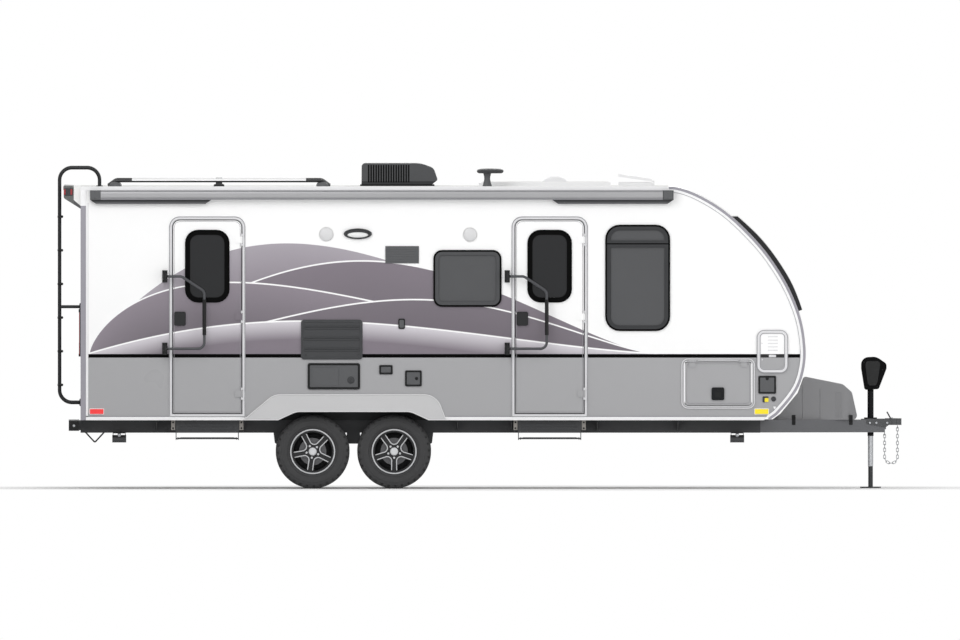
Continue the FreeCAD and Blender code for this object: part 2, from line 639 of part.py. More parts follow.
def build_lockers():
    """Luggage doors on both sides in slim frames, hinged along their top edge."""
    frames = []
    box = (S.locker_x, S.locker_width, S.locker_sill, S.locker_height, S.locker_radius)
    for side in ("right", "left"):
        sign = -1 if side == "right" else 1
        wall_low = f"-({half_width})" if sign < 0 else inner_half
        face_low = f"-({half_width}) - face_proud" if sign < 0 else half_width
        face = pad("locker_face_blank", "XZ", slab(*box), face_low, "face_proud")
        liner = pad("locker_liner", "XZ", slab(*box, grow=-S.locker_face + S.door_jamb), wall_low, "wall")
        inner = -S.locker_face
        void = pad("locker_void", "XZ", slab(*box, grow=inner), f"{wall_low} - wall", "3 * wall")
        ring = cut("locker_ring", fuse("locker_blank", [face, liner]), [void])
        leaf_low = f"-({half_width}) - leaf_proud" if sign < 0 else f"{half_width} + leaf_proud - leaf_depth"
        leaf = pad("locker_leaf", "XZ", slab(*box, grow=inner - S.door_gap), leaf_low, "leaf_depth")
        top = "(locker_sill + locker_height - locker_face)"
        axis_z = f"({top} - door_gap / 2)"
        axis_y = f"({sign} * ({half_width} + face_proud + hinge_radius + 1))"
        moving, bores, fixed = [leaf], [], [ring]
        for share in (-0.35, 0.35):
            low = f"(locker_x + locker_width * {share} - knuckle / 2)"
            leaf_face = f"({sign} * ({half_width} + leaf_proud))"
            frame_face = f"({sign} * ({half_width} + face_proud))"
            y_pair = (axis_y, leaf_face) if sign < 0 else (leaf_face, axis_y)
            f_pair = (axis_y, frame_face) if sign < 0 else (frame_face, axis_y)
            moving.append(rod("locker_barrel", "hinge_radius", "knuckle", low, axis_y, axis_z, "x"))
            moving.append(block("locker_strap", low, f"{low} + knuckle", *y_pair, f"{axis_z} - 50", axis_z))
            bores.append(rod("locker_bore", "hinge_pin / 2 + running_fit", "knuckle", low, axis_y, axis_z, "x"))
            fixed.append(rod("locker_pin", "hinge_pin / 2", "knuckle + 40", f"{low} - 20", axis_y, axis_z, "x"))
            for place in (f"{low} - 20", f"{low} + knuckle + 6"):
                fixed.append(rod("locker_lug", "hinge_radius", "14", place, axis_y, axis_z, "x"))
                fixed.append(block("locker_foot", place, f"{place} + 14", *f_pair, axis_z, f"{axis_z} + 20"))
        pull_pair = (f"{leaf_face} - 12", leaf_face) if sign < 0 else (leaf_face, f"{leaf_face} + 12")
        moving.append(block("locker_latch", "locker_x - 57", "locker_x + 53", *pull_pair, "locker_sill + 84",
                            "locker_sill + 195"))
        frames.append(fuse("locker_frame", fixed))
        keep(f"{side}_locker_door", cut(f"{side}_locker_door", fuse("locker_solid", moving), bores))
    keep("locker_frames", group("locker_frames", frames))


def build_chassis():
    """Two channel rails, cross-members, outriggers, spring hangers and stabiliser brackets."""
    top, low = S.floor_under, S.floor_under - S.rail_height
    gauge, width, web, flange = S.rail_gauge / 2, S.rail_width, S.rail_web, S.rail_flange
    inner, outer = gauge - width / 2, gauge + width / 2
    rails, members = [], []
    for sign in (1, -1):
        channel = [(outer, low), (outer, top), (inner, top), (inner, top - flange), (outer - web, top - flange),
                   (outer - web, low + flange), (inner, low + flange), (inner, low)]
        rails.append(pad("rail", "YZ", lines([(sign * y, z) for y, z in channel]), "body_back",
                         "rail_front - body_back"))
        for x in OUTRIGGERS:
            gusset = lines([(sign * outer, top), (sign * (S.body_width / 2 - S.wall - 9), top),
                            (sign * (S.body_width / 2 - S.wall - 9), top - 24), (sign * outer, low + 20)])
            members.append(pad("outrigger", "YZ", gusset, f"{x}", "8"))
    for x in (S.prop_back_x, *CROSS_MEMBERS, S.prop_front_x):
        members.append(block("cross_member", f"{x} - member_width / 2", f"{x} + member_width / 2", f"{-inner}",
                             f"{inner}", "floor_under - rail_height + 18", "floor_under"))
    members += spring_hangers(low)
    for x in (S.prop_back_x, S.prop_front_x):
        for sign in (1, -1):
            members.append(prop_bracket(x, sign, low))
    members += [pipe_hanger(sign * gauge, low) for sign in (1, -1)]
    keep("frame_rails", group("frame_rails", rails))
    keep("cross_members", group("cross_members", members))
    arms = []
    for sign in (1, -1):
        half = S.arm_width / 2
        arm = lines([(S.tongue_root, sign * (S.tongue_root_half - half)),
                     (S.tongue_root, sign * (S.tongue_root_half + half)),
                     (S.tongue_tip, sign * (S.tongue_tip_half + half)),
                     (S.tongue_tip, sign * (S.tongue_tip_half - half))])
        arms.append(pad("tongue_arm", "XY", arm, "floor_under - rail_height", "rail_height"))
    tip_half = "tongue_tip_half + arm_width / 2"
    arms.append(block("tongue_plate", "jack_x - 90", "tongue_tip", f"-({tip_half})", tip_half,
                      "floor_under", "floor_under + tongue_plate"))
    arms.append(block("tongue_end", "tongue_tip - 10", "tongue_tip", f"-({tip_half})", tip_half,
                      "floor_under - rail_height", "floor_under"))
    arms += [chain_eye("tongue_tip", "floor_under - rail_height", sign) for sign in (1, -1)]
    room = block("member_room", f"{S.prop_front_x} - member_width / 2", f"{S.prop_front_x} + member_width / 2",
                 f"{-inner}", f"{inner}", "floor_under - rail_height + 18", "floor_under")
    passage = rod("jack_passage", "jack_tube / 2", "60", "jack_x", "0", "floor_under - 20", "z")
    keep("tongue", cut("tongue", fuse("tongue_solid", arms), [room, passage]))
    near = "body_back - bumper_gap"
    shell = block("bumper_shell", f"{near} - bumper_depth", near, "-bumper_width / 2",
                  "bumper_width / 2", "floor_under - 5 - bumper_height", "floor_under - 5")
    bore = block("bumper_bore", f"{near} - bumper_depth + bumper_wall", f"{near} - bumper_wall",
                 "-bumper_width / 2", "bumper_width / 2", "floor_under - 5 - bumper_height + bumper_wall",
                 "floor_under - 5 - bumper_wall")
    feet = []
    for sign in (1, -1):
        feet.append(block("bumper_foot", near, "body_back", f"{sign * gauge} - rail_width / 2",
                          f"{sign * gauge} + rail_width / 2", "floor_under - bumper_height", "floor_under - 10"))
    keep("rear_bumper", fuse("rear_bumper", [cut("bumper_tube", shell, [bore])] + feet))


def chain_eye(x, under, sign):
    """A tab with a hole along X, below the tongue, that carries one end of a safety chain."""
    y = f"{sign} * chain_half"
    tab = block("eye_tab", f"{x} - 6", x, f"{y} - 15", f"{y} + 15", f"{under} - 30", under)
    hole = rod("eye_tab_hole", "chain_hole", "6", f"{x} - 6", y, f"{under} - 14", "x")
    return cut("chain_eye", tab, [hole])


def pipe_hanger(y, low):
    """A bent rod below a rail, behind the rear stabilisers, that carries the drain pipe."""
    reach, drop, wire = 90, 94, 4
    middle = S.body_back + 133
    bar = tube([(middle - reach, y, low + wire), (middle, y, low - drop), (middle + reach, y, low + wire)], 14, wire)
    below = Part.makeBox(4 * reach, 4 * wire, 2 * drop, Vec(middle - 2 * reach, y - 2 * wire, low - 2 * drop))
    return shaped("pipe_hanger", bar.common(below))


def spring_hangers(low):
    """Cheeks and eye pins under the rails: one pair at each end, and an equaliser in the middle."""
    gauge = S.rail_gauge / 2
    spring_z = S.spring_eye_z
    middle = S.rear_axle_x + S.axle_spacing / 2
    eye_half = S.spring_span / 2
    eyes = [S.rear_axle_x - eye_half, S.rear_axle_x + eye_half,
            S.rear_axle_x + S.axle_spacing - eye_half, S.rear_axle_x + S.axle_spacing + eye_half]
    edge = S.spring_width / 2 + 1.5
    span = 2 * (edge + S.hanger_plate)
    hangers = []
    for sign in (1, -1):
        plates = {0: [], 1: [], 2: []}
        for side in (1, -1):
            near = sign * gauge + side * edge
            far = near + side * S.hanger_plate
            y0, y1 = min(near, far), max(near, far)
            for place, x in ((0, eyes[0]), (2, eyes[3])):
                cheek = rounded([(x - 34, low), (x - 22, spring_z - 24), (x + 22, spring_z - 24), (x + 34, low)],
                                [0, 18, 18, 0])
                plates[place].append(pad("hanger", "XZ", cheek, f"{y0}", f"{y1 - y0}"))
            cheek = rounded([(middle - 60, low), (eyes[1] - 22, spring_z - 24), (eyes[2] + 22, spring_z - 24),
                             (middle + 60, low)], [0, 18, 18, 0])
            plates[1].append(pad("equaliser", "XZ", cheek, f"{y0}", f"{y1 - y0}"))
        for place, x in ((0, eyes[0]), (1, eyes[1]), (1, eyes[2]), (2, eyes[3])):
            plates[place].append(rod("eye_pin", "pin / 2", f"{span}", f"{x}", f"{sign * gauge - span / 2}",
                                     "spring_eye_z", "y"))
        hangers += [fuse("spring_hanger", solids) for solids in plates.values()]
    return hangers


def prop_bracket(x, sign, low):
    """The plate, cheeks and pin that carry one stabiliser leg under a rail."""
    y0, y1 = sorted((sign * (S.prop_pivot_y - 40), sign * 900))
    c0, c1 = sorted((sign * (S.prop_pivot_y - 40), sign * (S.prop_pivot_y + 40)))
    parts = [block("prop_plate", f"{x} - prop_bracket / 2", f"{x} + prop_bracket / 2", f"{y0}", f"{y1}",
                   f"{low} - prop_cheek", f"{low}")]
    for start in (f"{x} - prop_bracket / 2", f"{x} + prop_bracket / 2 - prop_cheek"):
        parts.append(block("prop_cheek_plate", start, f"{start} + prop_cheek", f"{c0}", f"{c1}",
                           "prop_pivot_z - 20", f"{low} - prop_cheek"))
    parts.append(rod("prop_pin_rod", "prop_pin / 2", "prop_bracket", f"{x} - prop_bracket / 2",
                     f"{sign * S.prop_pivot_y}", "prop_pivot_z", "x"))
    return fuse("prop_bracket_solid", parts)


def build_running_gear():
    """Two straight axles, their brake plates and spring seats, and four leaf springs."""
    axles, springs = [], []
    wheel_plane = S.track / 2
    gauge = S.rail_gauge / 2
    seat = S.tyre_radius + S.axle_tube / 2 + 8
    for number in (0, 1):
        x = S.rear_axle_x + number * S.axle_spacing
        parts = [rod("axle_tube_rod", "axle_tube / 2", f"{2 * (wheel_plane - 112)}", f"{x}",
                     f"{-(wheel_plane - 112)}", "tyre_radius", "y"),
                 rod("spindle_rod", "spindle / 2", f"{2 * (wheel_plane + 10)}", f"{x}", f"{-(wheel_plane + 10)}",
                     "tyre_radius", "y")]
        for sign in (1, -1):
            plate_y = sign * (wheel_plane - 118) - (6 if sign > 0 else 0)
            parts.append(rod("brake_plate", "124", "6", f"{x}", f"{plate_y}", "tyre_radius", "y"))
            parts.append(block("spring_seat", f"{x - 50}", f"{x + 50}", f"{sign * gauge - 30}", f"{sign * gauge + 30}",
                               "tyre_radius", f"{seat}"))
            parts.append(block("tie_plate", f"{x - 55}", f"{x + 55}", f"{sign * gauge - 32}", f"{sign * gauge + 32}",
                               f"{S.tyre_radius - S.axle_tube / 2 - 8}", f"{S.tyre_radius - S.axle_tube / 2 + 6}"))
            springs.append(leaf_spring(x, sign * gauge, seat))
        axles.append(fuse("axle", parts))
    keep("axles", group("axles", axles))
    keep("leaf_springs", group("leaf_springs", springs))


def leaf_spring(x, y, seat):
    """A stack of leaves on a flat seat, with an eye rolled at each end."""
    eye_x, eye_z = S.spring_span / 2, S.spring_eye_z
    start = y - S.spring_width / 2
    stack = 4
    base = seat + S.leaf * stack
    rise = eye_z - S.eye_radius - base + 2
    radius = (eye_x ** 2 + rise ** 2) / (2 * rise)
    centre = Vec(x, base + radius, 0)
    plates = []
    for layer in range(stack):
        reach = eye_x * (1 - 0.22 * layer)
        outer = radius + S.leaf * layer
        angle = math.asin(reach / radius)
        edges = []
        for r in (outer, outer + S.leaf):
            spots = [centre + Vec(r * math.sin(a), -r * math.cos(a), 0) for a in (-angle, 0, angle)]
            edges.append(spots)
        low, high = edges[1], edges[0]
        plates.append(pad("leaf_plate", "XZ", [Part.Arc(*low), Part.LineSegment(low[2], high[2]),
                                              Part.Arc(*high), Part.LineSegment(high[0], low[0])],
                          f"{start}", "spring_width"))
    clamp = block("spring_clamp", f"{x - 50}", f"{x + 50}", f"{start}", f"{start} + spring_width",
                  f"{seat}", f"{base - S.leaf * 2}")
    eyes = [rod("spring_eye", "eye_radius", "spring_width", f"{x + side * eye_x}", f"{start}", "spring_eye_z", "y")
            for side in (-1, 1)]
    holes = [rod("eye_hole", "pin / 2 + running_fit", "spring_width", f"{x + side * eye_x}", f"{start}",
                 "spring_eye_z", "y") for side in (-1, 1)]
    return cut("leaf_spring", fuse("spring_solid", plates + [clamp] + eyes), holes)


def build_wheel(label, x, sign, turn):
    """A radial tyre on a five-spoke wheel with its hub and brake drum; its face is at +Y before turning."""
    r, width = S.tyre_radius, S.tyre_width / 2
    seat, half_rim = S.rim_radius, S.rim_width / 2
    lip = seat + S.rim_flange
    left = [(seat, -half_rim + 1), (lip - 4, -half_rim + 1)]
    section = [Vec(seat, -half_rim + 1, 0), Vec(lip + 1, -half_rim + 1, 0), Vec(lip + 1, -width * 0.86, 0)]
    mirror = [Vec(p.x, -p.y, 0) for p in section]
    crown = [Part.LineSegment(section[0], section[1]), Part.LineSegment(section[1], section[2]),
             Part.Arc(section[2], Vec(lip + (r - lip) * 0.38, -width, 0), Vec(r - 34, -width * 0.93, 0)),
             Part.Arc(Vec(r - 34, -width * 0.93, 0), Vec(r - 10, -width * 0.84, 0), Vec(r - 3, -width * 0.62, 0)),
             Part.Arc(Vec(r - 3, -width * 0.62, 0), Vec(r, 0, 0), Vec(r - 3, width * 0.62, 0)),
             Part.Arc(Vec(r - 3, width * 0.62, 0), Vec(r - 10, width * 0.84, 0), Vec(r - 34, width * 0.93, 0)),
             Part.Arc(Vec(r - 34, width * 0.93, 0), Vec(lip + (r - lip) * 0.38, width, 0), mirror[2]),
             Part.LineSegment(mirror[2], mirror[1]), Part.LineSegment(mirror[1], mirror[0]),
             Part.LineSegment(mirror[0], section[0])]
    tyre = turned(f"{label}_tyre", f"{x}", "tyre_radius", crown)
    bind(tyre, "Placement.Base.y", f"{sign} * track / 2")
    keep(f"{label}_tyre", tyre)
    bead = half_rim
    shell = seat - S.rim_shell
    barrel = lines([(shell, -bead - 9), (lip, -bead - 9), (lip, -bead), (seat - 0.3, -bead), (seat - 0.3, bead),
                    (lip, bead), (lip, bead + 9), (shell, bead + 9)])
    rim = turned(f"{label}_rim_ring", f"{x}", "tyre_radius", barrel)
    bind(rim, "Placement.Base.y", f"{sign} * track / 2")
    centre = Vec(x, sign * S.track / 2, S.tyre_radius)
    face = Vec(0, sign, 0)
    spokes = wheel_face(shell + 3)
    spokes.rotate(Vec(), Vec(0, 0, 1), turn * -sign)
    spokes.rotate(Vec(), Vec(1, 0, 0), -90 if sign > 0 else 90)
    spokes.translate(centre)
    drum = Part.makeCylinder(S.drum_radius, 62, centre - face * 106, face)
    drum = drum.cut(Part.makeCylinder(S.drum_radius - 9, 50, centre - face * 106, face))
    hub = Part.makeCylinder(42, 96, centre - face * 56, face)
    hub = hub.cut(Part.makeCylinder(S.spindle / 2 + 1, 100, centre - face * 80, face))
    drum = drum.cut(Part.makeCylinder(S.spindle / 2 + 1, 100, centre - face * 106, face))
    middle = shaped(f"{label}_hub", spokes.fuse([drum, hub]).removeSplitter())
    keep(f"{label}_rim", fuse(f"{label}_rim", [rim, middle]))


def wheel_window(grow):
    """A U-shaped wheel window that opens along +X, grown by its machined edge."""
    radius = S.window_round + grow
    outer = S.window_outer + min(grow, 3)
    centre = Vec(S.window_apex + S.window_round, 0, 0)
    half = math.radians(36 - S.spoke_half_angle) + grow / outer
    corner = Vec(outer * math.cos(half), outer * math.sin(half), 0)
    span = corner - centre
    lean = math.atan2(span.y, span.x) + math.acos(radius / span.Length)
    touch = centre + Vec(radius * math.cos(lean), radius * math.sin(lean), 0)
    spots = [Vec(p.x, -p.y, 0) for p in (corner, touch)]
    edges = [Part.Arc(spots[0], Vec(outer, 0, 0), corner), Part.LineSegment(corner, touch),
             Part.Arc(touch, centre - Vec(radius, 0, 0), spots[1]), Part.LineSegment(spots[1], spots[0])]
    return Part.Face(Part.Wire([edge.toShape() for edge in edges]))


def wheel_face(reach):
    """A disc in the XY plane, outer face up, with five windows, their raised edges, nuts and a cap."""
    level, depth, rib = S.face_level, S.face_depth, S.face_rib
    top = level + depth
    disc = Part.makeCylinder(reach, depth, Vec(0, 0, level))
    ribs, holes, nuts = [], [], []
    for index in range(5):
        angle = 90 + 72 * index
        edge = wheel_window(S.rib_width).extrude(Vec(0, 0, rib + 1))
        edge.translate(Vec(0, 0, top - 1))
        hole = wheel_window(0).extrude(Vec(0, 0, depth + rib + 2))
        hole.translate(Vec(0, 0, level - 1))
        for solid, keeper in ((edge, ribs), (hole, holes)):
            solid.rotate(Vec(), Vec(0, 0, 1), angle)
            keeper.append(solid)
        spoke = math.radians(angle + 36)
        spot = Vec(S.nut_circle * math.cos(spoke), S.nut_circle * math.sin(spoke), top)
        nuts.append(Part.makeCylinder(S.nut, 11, spot))
    cap = Part.makeCylinder(S.hub_cap, 16, Vec(0, 0, top))
    cap = cap.makeFillet(5, [edge for edge in cap.Edges if edge.CenterOfMass.z > top + 15])
    return disc.fuse(ribs).cut(holes).fuse(nuts + [cap])


def build_roof_fittings():
    """Air conditioner, rack rails, skylight, antenna and the opening roof hatch."""
    length, height = S.cooler_length, S.cooler_height
    back, top = S.cooler_x - length / 2, S.roof_top
    front, high = back + length, top + height
    shape = rounded([(back, top), (front, top), (front - 24, top + 17), (front + 25, top + 57),
                     (front - 12, high - 45), (front - 134, high), (back + 16, high), (back + 14, top + 15)],
                    [0, 0, 0, 16, 70, 300, 34, 0])
    hood = pad("cooler_hood", "XZ", shape, "-cooler_width / 2", "cooler_width")
    slots = []
    for number in range(int(S.cooler_fins)):
        low = f"cooler_x - cooler_length / 2 + 76 + {number} * cooler_fin_pitch"
        for start in ("-cooler_width / 2", "cooler_width / 2 - cooler_slot_depth"):
            slots.append(block("cooler_vent", low, f"{low} + cooler_slot", start, f"{start} + cooler_slot_depth",
                               "roof_top + 32", "roof_top + cooler_height - 14"))
    keep("air_conditioner", cut("air_conditioner", hood, slots))
    rails = []
    radius = S.rack_tube / 2
    for sign in (1, -1):
        y = sign * S.rack_half
        z = S.roof_top + S.rack_rise
        bar = tube([(S.rack_back + radius, y, S.roof_top), (S.rack_back + S.rack_slope, y, z),
                    (S.rack_front - S.rack_slope, y, z), (S.rack_front - radius, y, S.roof_top)],
                   S.rack_bend, radius)
        start = (S.rack_back + S.rack_front - S.rack_collar) / 2
        post = Part.makeBox(S.rack_collar, 24, S.rack_rise, Vec(start, y - 12, S.roof_top))
        collar = Part.makeCylinder(radius + 4, S.rack_collar, Vec(start, y, z), Vec(1, 0, 0))
        above = Part.makeBox(S.rack_front - S.rack_back + 200, 200, 400,
                             Vec(S.rack_back - 100, y - 100, S.roof_top))
        rails.append(shaped("rack_rail", bar.common(above).fuse([post, collar]).removeSplitter()))
    keep("roof_rails", group("roof_rails", rails))
    plate = block("skylight_plate", "skylight_back", "skylight_front", "-skylight_half", "skylight_half",
                  "roof_top", "roof_top + skylight_height")
    ball = (S.dome_radius ** 2 + S.dome_height ** 2) / (2 * S.dome_height)
    base_z = S.roof_top + S.skylight_height
    sphere = Part.makeSphere(ball, Vec(S.dome_x, 0, base_z + S.dome_height - ball))
    above = Part.makeBox(600, 600, 300, Vec(S.dome_x - 300, -300, base_z))
    keep("skylight", fuse("skylight", [plate, shaped("skylight_dome", sphere.common(above))]))
    stem = rod("mast_stem", "24", "mast_top - roof_top", "mast_x", "mast_y", "roof_top", "z")
    foot = rod("mast_foot", "60", "14", "mast_x", "mast_y", "roof_top", "z")
    disc = rod("mast_head", "mast_disc", "40", "mast_x + 30", "mast_y", "mast_top", "z")
    keep("antenna", fuse("antenna", [stem, foot, disc]))
    build_roof_hatch()


def build_roof_hatch():
    """A vent frame on the roof and its lid, propped ajar on a hinge along the front edge."""
    half = "hatch_size / 2"
    hinge_x, hinge_z = "(hatch_x + hatch_size / 2 + hatch_hinge)", "(roof_top + hatch_curb + 4)"
    curb = block("hatch_curb_box", f"hatch_x - {half}", f"hatch_x + {half}", f"-{half} - 20", f"{half} + 20",
                 "roof_top", "roof_top + hatch_curb")
    lugs = [rod("hatch_pin", "hatch_barrel / 4", f"2 * {half}", hinge_x, f"-{half}", hinge_z, "y")]
    for start in (f"-{half} - 10", f"{half}"):
        lugs.append(block("hatch_lug_foot", f"hatch_x + {half}", f"{hinge_x} + 8", start, f"{start} + 10",
                          "roof_top", "roof_top + hatch_curb - 8"))
        lugs.append(block("hatch_lug", f"{hinge_x} - 8", f"{hinge_x} + 8", start, f"{start} + 10",
                          "roof_top", f"{hinge_z} + 8"))
    void = block("hatch_void", f"hatch_x - {half} + 12", f"hatch_x + {half} - 12", f"-{half} - 8", f"{half} + 8",
                 "roof_top + 8", "roof_top + hatch_curb")
    keep("hatch_frame", cut("hatch_frame", fuse("hatch_solid", [curb] + lugs), [void]))
    size, barrel = S.hatch_size, S.hatch_barrel
    long, deep = size + 10, 24
    lid = Part.makeBox(long, size + 56, deep, Vec(-long - S.hatch_hinge + 2, -size / 2 - 28, 2))
    lid = lid.makeFillet(10, [e for e in lid.Edges if e.CenterOfMass.z > deep])
    lid = lid.cut(Part.makeBox(long - 14, size + 42, deep - 8, Vec(-long - S.hatch_hinge + 9, -size / 2 - 21, 2)))
    knuckle = Part.makeCylinder(barrel / 2, size - 12, Vec(0, -size / 2 + 6, 0), Vec(0, 1, 0))
    web = Part.makeBox(S.hatch_hinge, size - 12, 8, Vec(-S.hatch_hinge, -size / 2 + 6, 2))
    bore = Part.makeCylinder(barrel / 4 + S.running_fit, size - 12, Vec(0, -size / 2 + 6, 0), Vec(0, 1, 0))
    lid = lid.fuse([knuckle, web]).cut(bore).removeSplitter()
    lid.rotate(Vec(), Vec(0, 1, 0), S.hatch_tilt)
    lid.translate(Vec(S.hatch_x + size / 2 + S.hatch_hinge, 0, S.roof_top + S.hatch_curb + 4))
    keep("hatch_lid", shaped("hatch_lid", lid))


def build_awning():
    """The rolled awning's case along the right wall, with end castings and two slant-ended arm rests."""
    face = f"-({half_width})"
    case = rounded([(-S.body_width / 2, S.awning_low), (-S.body_width / 2, S.awning_high),
                    (-S.body_width / 2 - S.awning_depth, S.awning_high),
                    (-S.body_width / 2 - S.awning_depth, S.awning_low)], [0, 0, 34, 30])
    parts = [pad("awning_case", "YZ", case, "awning_back + awning_cap",
                 "awning_front - awning_back - 2 * awning_cap")]
    top, foot, slant = S.awning_low, S.awning_low - S.arm_rest_height, S.arm_rest_slant
    for cap_at, back in (("awning_back", S.awning_back),
                         ("awning_front - awning_cap", S.awning_front - S.arm_rest_length)):
        parts.append(block("awning_cap_box", cap_at, f"{cap_at} + awning_cap", f"{face} - awning_depth + 4", face,
                           "awning_low", "awning_high - 4"))
        front = back + S.arm_rest_length
        rest = lines([(back, top), (back + slant, foot), (front - slant, foot), (front, top)])
        parts.append(pad("awning_arm_rest", "XZ", rest, f"{face} - arm_rest_depth", "arm_rest_depth"))
    keep("awning", fuse("awning", parts))


def build_tail():
    """Ladder up the rear wall and over the roof edge, lamp pod, tail and marker lamps."""
    radius = S.ladder_tube / 2
    stiles, rungs = [], []
    outside = Part.makeBox(2000, 2000, 3000, Vec(S.body_back, S.ladder_y - 1000, S.roof_top - 3000))
    for sign in (1, -1):
        y = S.ladder_y + sign * S.ladder_half
        bar = tube([(S.body_back, y, S.ladder_low), (S.ladder_back, y, S.ladder_low),
                    (S.ladder_back, y, S.ladder_high), (S.ladder_front, y, S.ladder_high),
                    (S.ladder_front, y, S.roof_top)], S.ladder_bend, radius)
        stay = Part.makeCylinder(radius * 0.8, S.body_back - S.ladder_back, Vec(S.ladder_back, y, S.ladder_stay),
                                 Vec(1, 0, 0))
        foot = Part.makeBox(6, 44, 60, Vec(S.body_back - 6, y - 22, S.ladder_stay - 30))
        sole = Part.makeBox(60, 44, 6, Vec(S.ladder_front - 30, y - 22, S.roof_top))
        solid = bar.fuse([stay, foot, sole]).cut(outside).removeSplitter()
        stiles.append(shaped("ladder_stile", solid))
    half = S.ladder_half - radius
    for index in range(6):
        low = f"ladder_rung + {index} * rung_pitch - rung_depth / 2"
        rungs.append(block("ladder_rung_bar", "ladder_back - rung_width / 2", "ladder_back + rung_width / 2",
                           f"{S.ladder_y - half}", f"{S.ladder_y + half}", low, f"{low} + rung_depth"))
    keep("ladder_stiles", group("ladder_stiles", stiles))
    keep("ladder_rungs", group("ladder_rungs", rungs))
    back, x = S.pod_back, S.body_back
    pod = rounded([(x, S.pod_top - 8), (back, S.pod_top), (back, S.pod_top - 116), (x, S.pod_low)], [0, 14, 30, 0])
    keep("lamp_pod", pad("lamp_pod", "XZ", pod, "-pod_half", "2 * pod_half"))
    lamps = []
    for sign in (1, -1):
        middle = f"{sign} * (body_width / 2 - tail_lamp_inset)"
        lamps.append(block("tail_lamp", "body_back - marker_proud", "body_back", f"{middle} - tail_lamp_width / 2",
                           f"{middle} + tail_lamp_width / 2", "tail_lamp_low", "tail_lamp_low + tail_lamp_height"))
        face = half_width if sign > 0 else f"-({half_width}) - marker_proud"
        for low_x in ("body_back + marker_inset", "nose_front - marker_setback"):
            lamps.append(block("side_marker", low_x, f"{low_x} + marker_length", face, f"{face} + marker_proud",
                               "floor_under + marker_rise", "floor_under + marker_rise + marker_height"))
    keep("lamps", group("lamps", lamps))


def build_wall_fittings():
    """Vents, hatches, speakers and the porch lamp on the right wall, and their twins on the left."""
    plates = [(-1657, -1083, 1203, 1573, 14, 20), (-1592, -1104, 923, 1168, 12, 16), (-926, -801, 1063, 1150, 10, 8),
              (-686, -530, 951, 1100, 12, 14), (-869, -556, 2096, 2257, 10, 10), (-748, -686, 1485, 1582, 14, 10),
              (2587, 2884, 1077, 1477, 12, 16), (2602, 2765, 883, 1050, 12, 10)]
    solids = []
    for x0, x1, z0, z1, proud, radius in plates:
        solids.append(pad("wall_plate", "XZ", slab((x0 + x1) / 2, x1 - x0, z0, z1 - z0, radius),
                          f"-({half_width}) - {proud}", f"{proud}"))
    for x, z, radius, proud in ((-1418, 2367, 67, 12), (-80, 2364, 67, 12)):
        solids.append(rod("speaker", f"{radius}", f"{proud}", f"{x}", f"-({half_width}) - {proud}", f"{z}", "y"))
    solids.append(pad("porch_lamp", "XZ", slab(-1125, 263, 2321, 100, 49), f"-({half_width}) - 38", "38"))
    for x0, x1, z0, z1, proud, radius in plates[1:4]:
        solids.append(pad("left_plate", "XZ", slab((x0 + x1) / 2, x1 - x0, z0, z1 - z0, radius), half_width,
                          f"{proud}"))
    keep("wall_fittings", group("wall_fittings", solids))


def build_tongue():
    """Gas bottle cover, ball coupler, electric jack with its sliding leg, and safety chains."""
    back, front, top, low = S.cover_back, S.cover_front, S.cover_top, S.floor_under
    height = S.roof_top - low
    under_nose = [(S.nose_start + u * S.nose_length + S.cover_clear, low + w * height)
                  for u, w in NOSE_SHARES if w * height < S.cover_rise * 0.9]
    side = rounded([under_nose[-1], (front, low), (front - 56, top - 148), (front - 140, top - 73), (back, top)]
                   + under_nose[:-1], [0, 40, 50, 80, 30] + [0] * (len(under_nose) - 1))
    bulk = pad("cover_side", "XZ", side, "-cover_half", "2 * cover_half")
    heel = under_nose[-1][0]
    plan = rounded([(heel, -S.cover_half), (front, -S.cover_half * 0.78), (front, S.cover_half * 0.78),
                    (heel, S.cover_half)], [60, 150, 150, 60])
    outline = pad("cover_plan", "XY", plan, "floor_under", "cover_top - floor_under")
    keep("tank_cover", common("tank_cover", bulk, outline))
    x, high = S.jack_x, S.jack_head_top
    head = rounded([(x - 88, high - 8), (x + 55, high), (x + 149, high - 66), (x + 149, high - 112),
                    (x + 76, S.jack_head_low + 8), (x - 56, S.jack_head_low), (x - 88, high - 110)],
                   [70, 110, 36, 36, 24, 24, 60])
    motor = pad("jack_motor", "XZ", head, "-62", "124")
    tube_solid = rod("jack_tube_rod", "jack_tube / 2", "jack_head_low - jack_low + 20", "jack_x", "0", "jack_low", "z")
    deck = "floor_under + tongue_plate"
    flange = block("jack_flange", "jack_x - 60", "jack_x + 60", "-60", "60", deck, f"{deck} + 12")
    bore = rod("jack_bore_rod", "jack_bore / 2", "jack_head_low - jack_low", "jack_x", "0", "jack_low", "z")
    housing = cut("jack_housing", fuse("jack_solid", [tube_solid, flange]), [bore])
    keep("tongue_jack", fuse("tongue_jack", [housing, motor]))
    inner = rod("leg_inner", "leg_tube / 2", "leg_top - drop_top", "jack_x", "0", "drop_top", "z")
    drop = rod("leg_drop", "drop_leg / 2", "drop_top - foot_plate", "jack_x", "0", "foot_plate", "z")
    foot = rod("leg_foot", "foot_radius", "foot_plate", "jack_x", "0", "0", "z")
    keep("jack_leg", fuse("jack_leg", [inner, drop, foot]))
    build_coupler()
    build_chains()


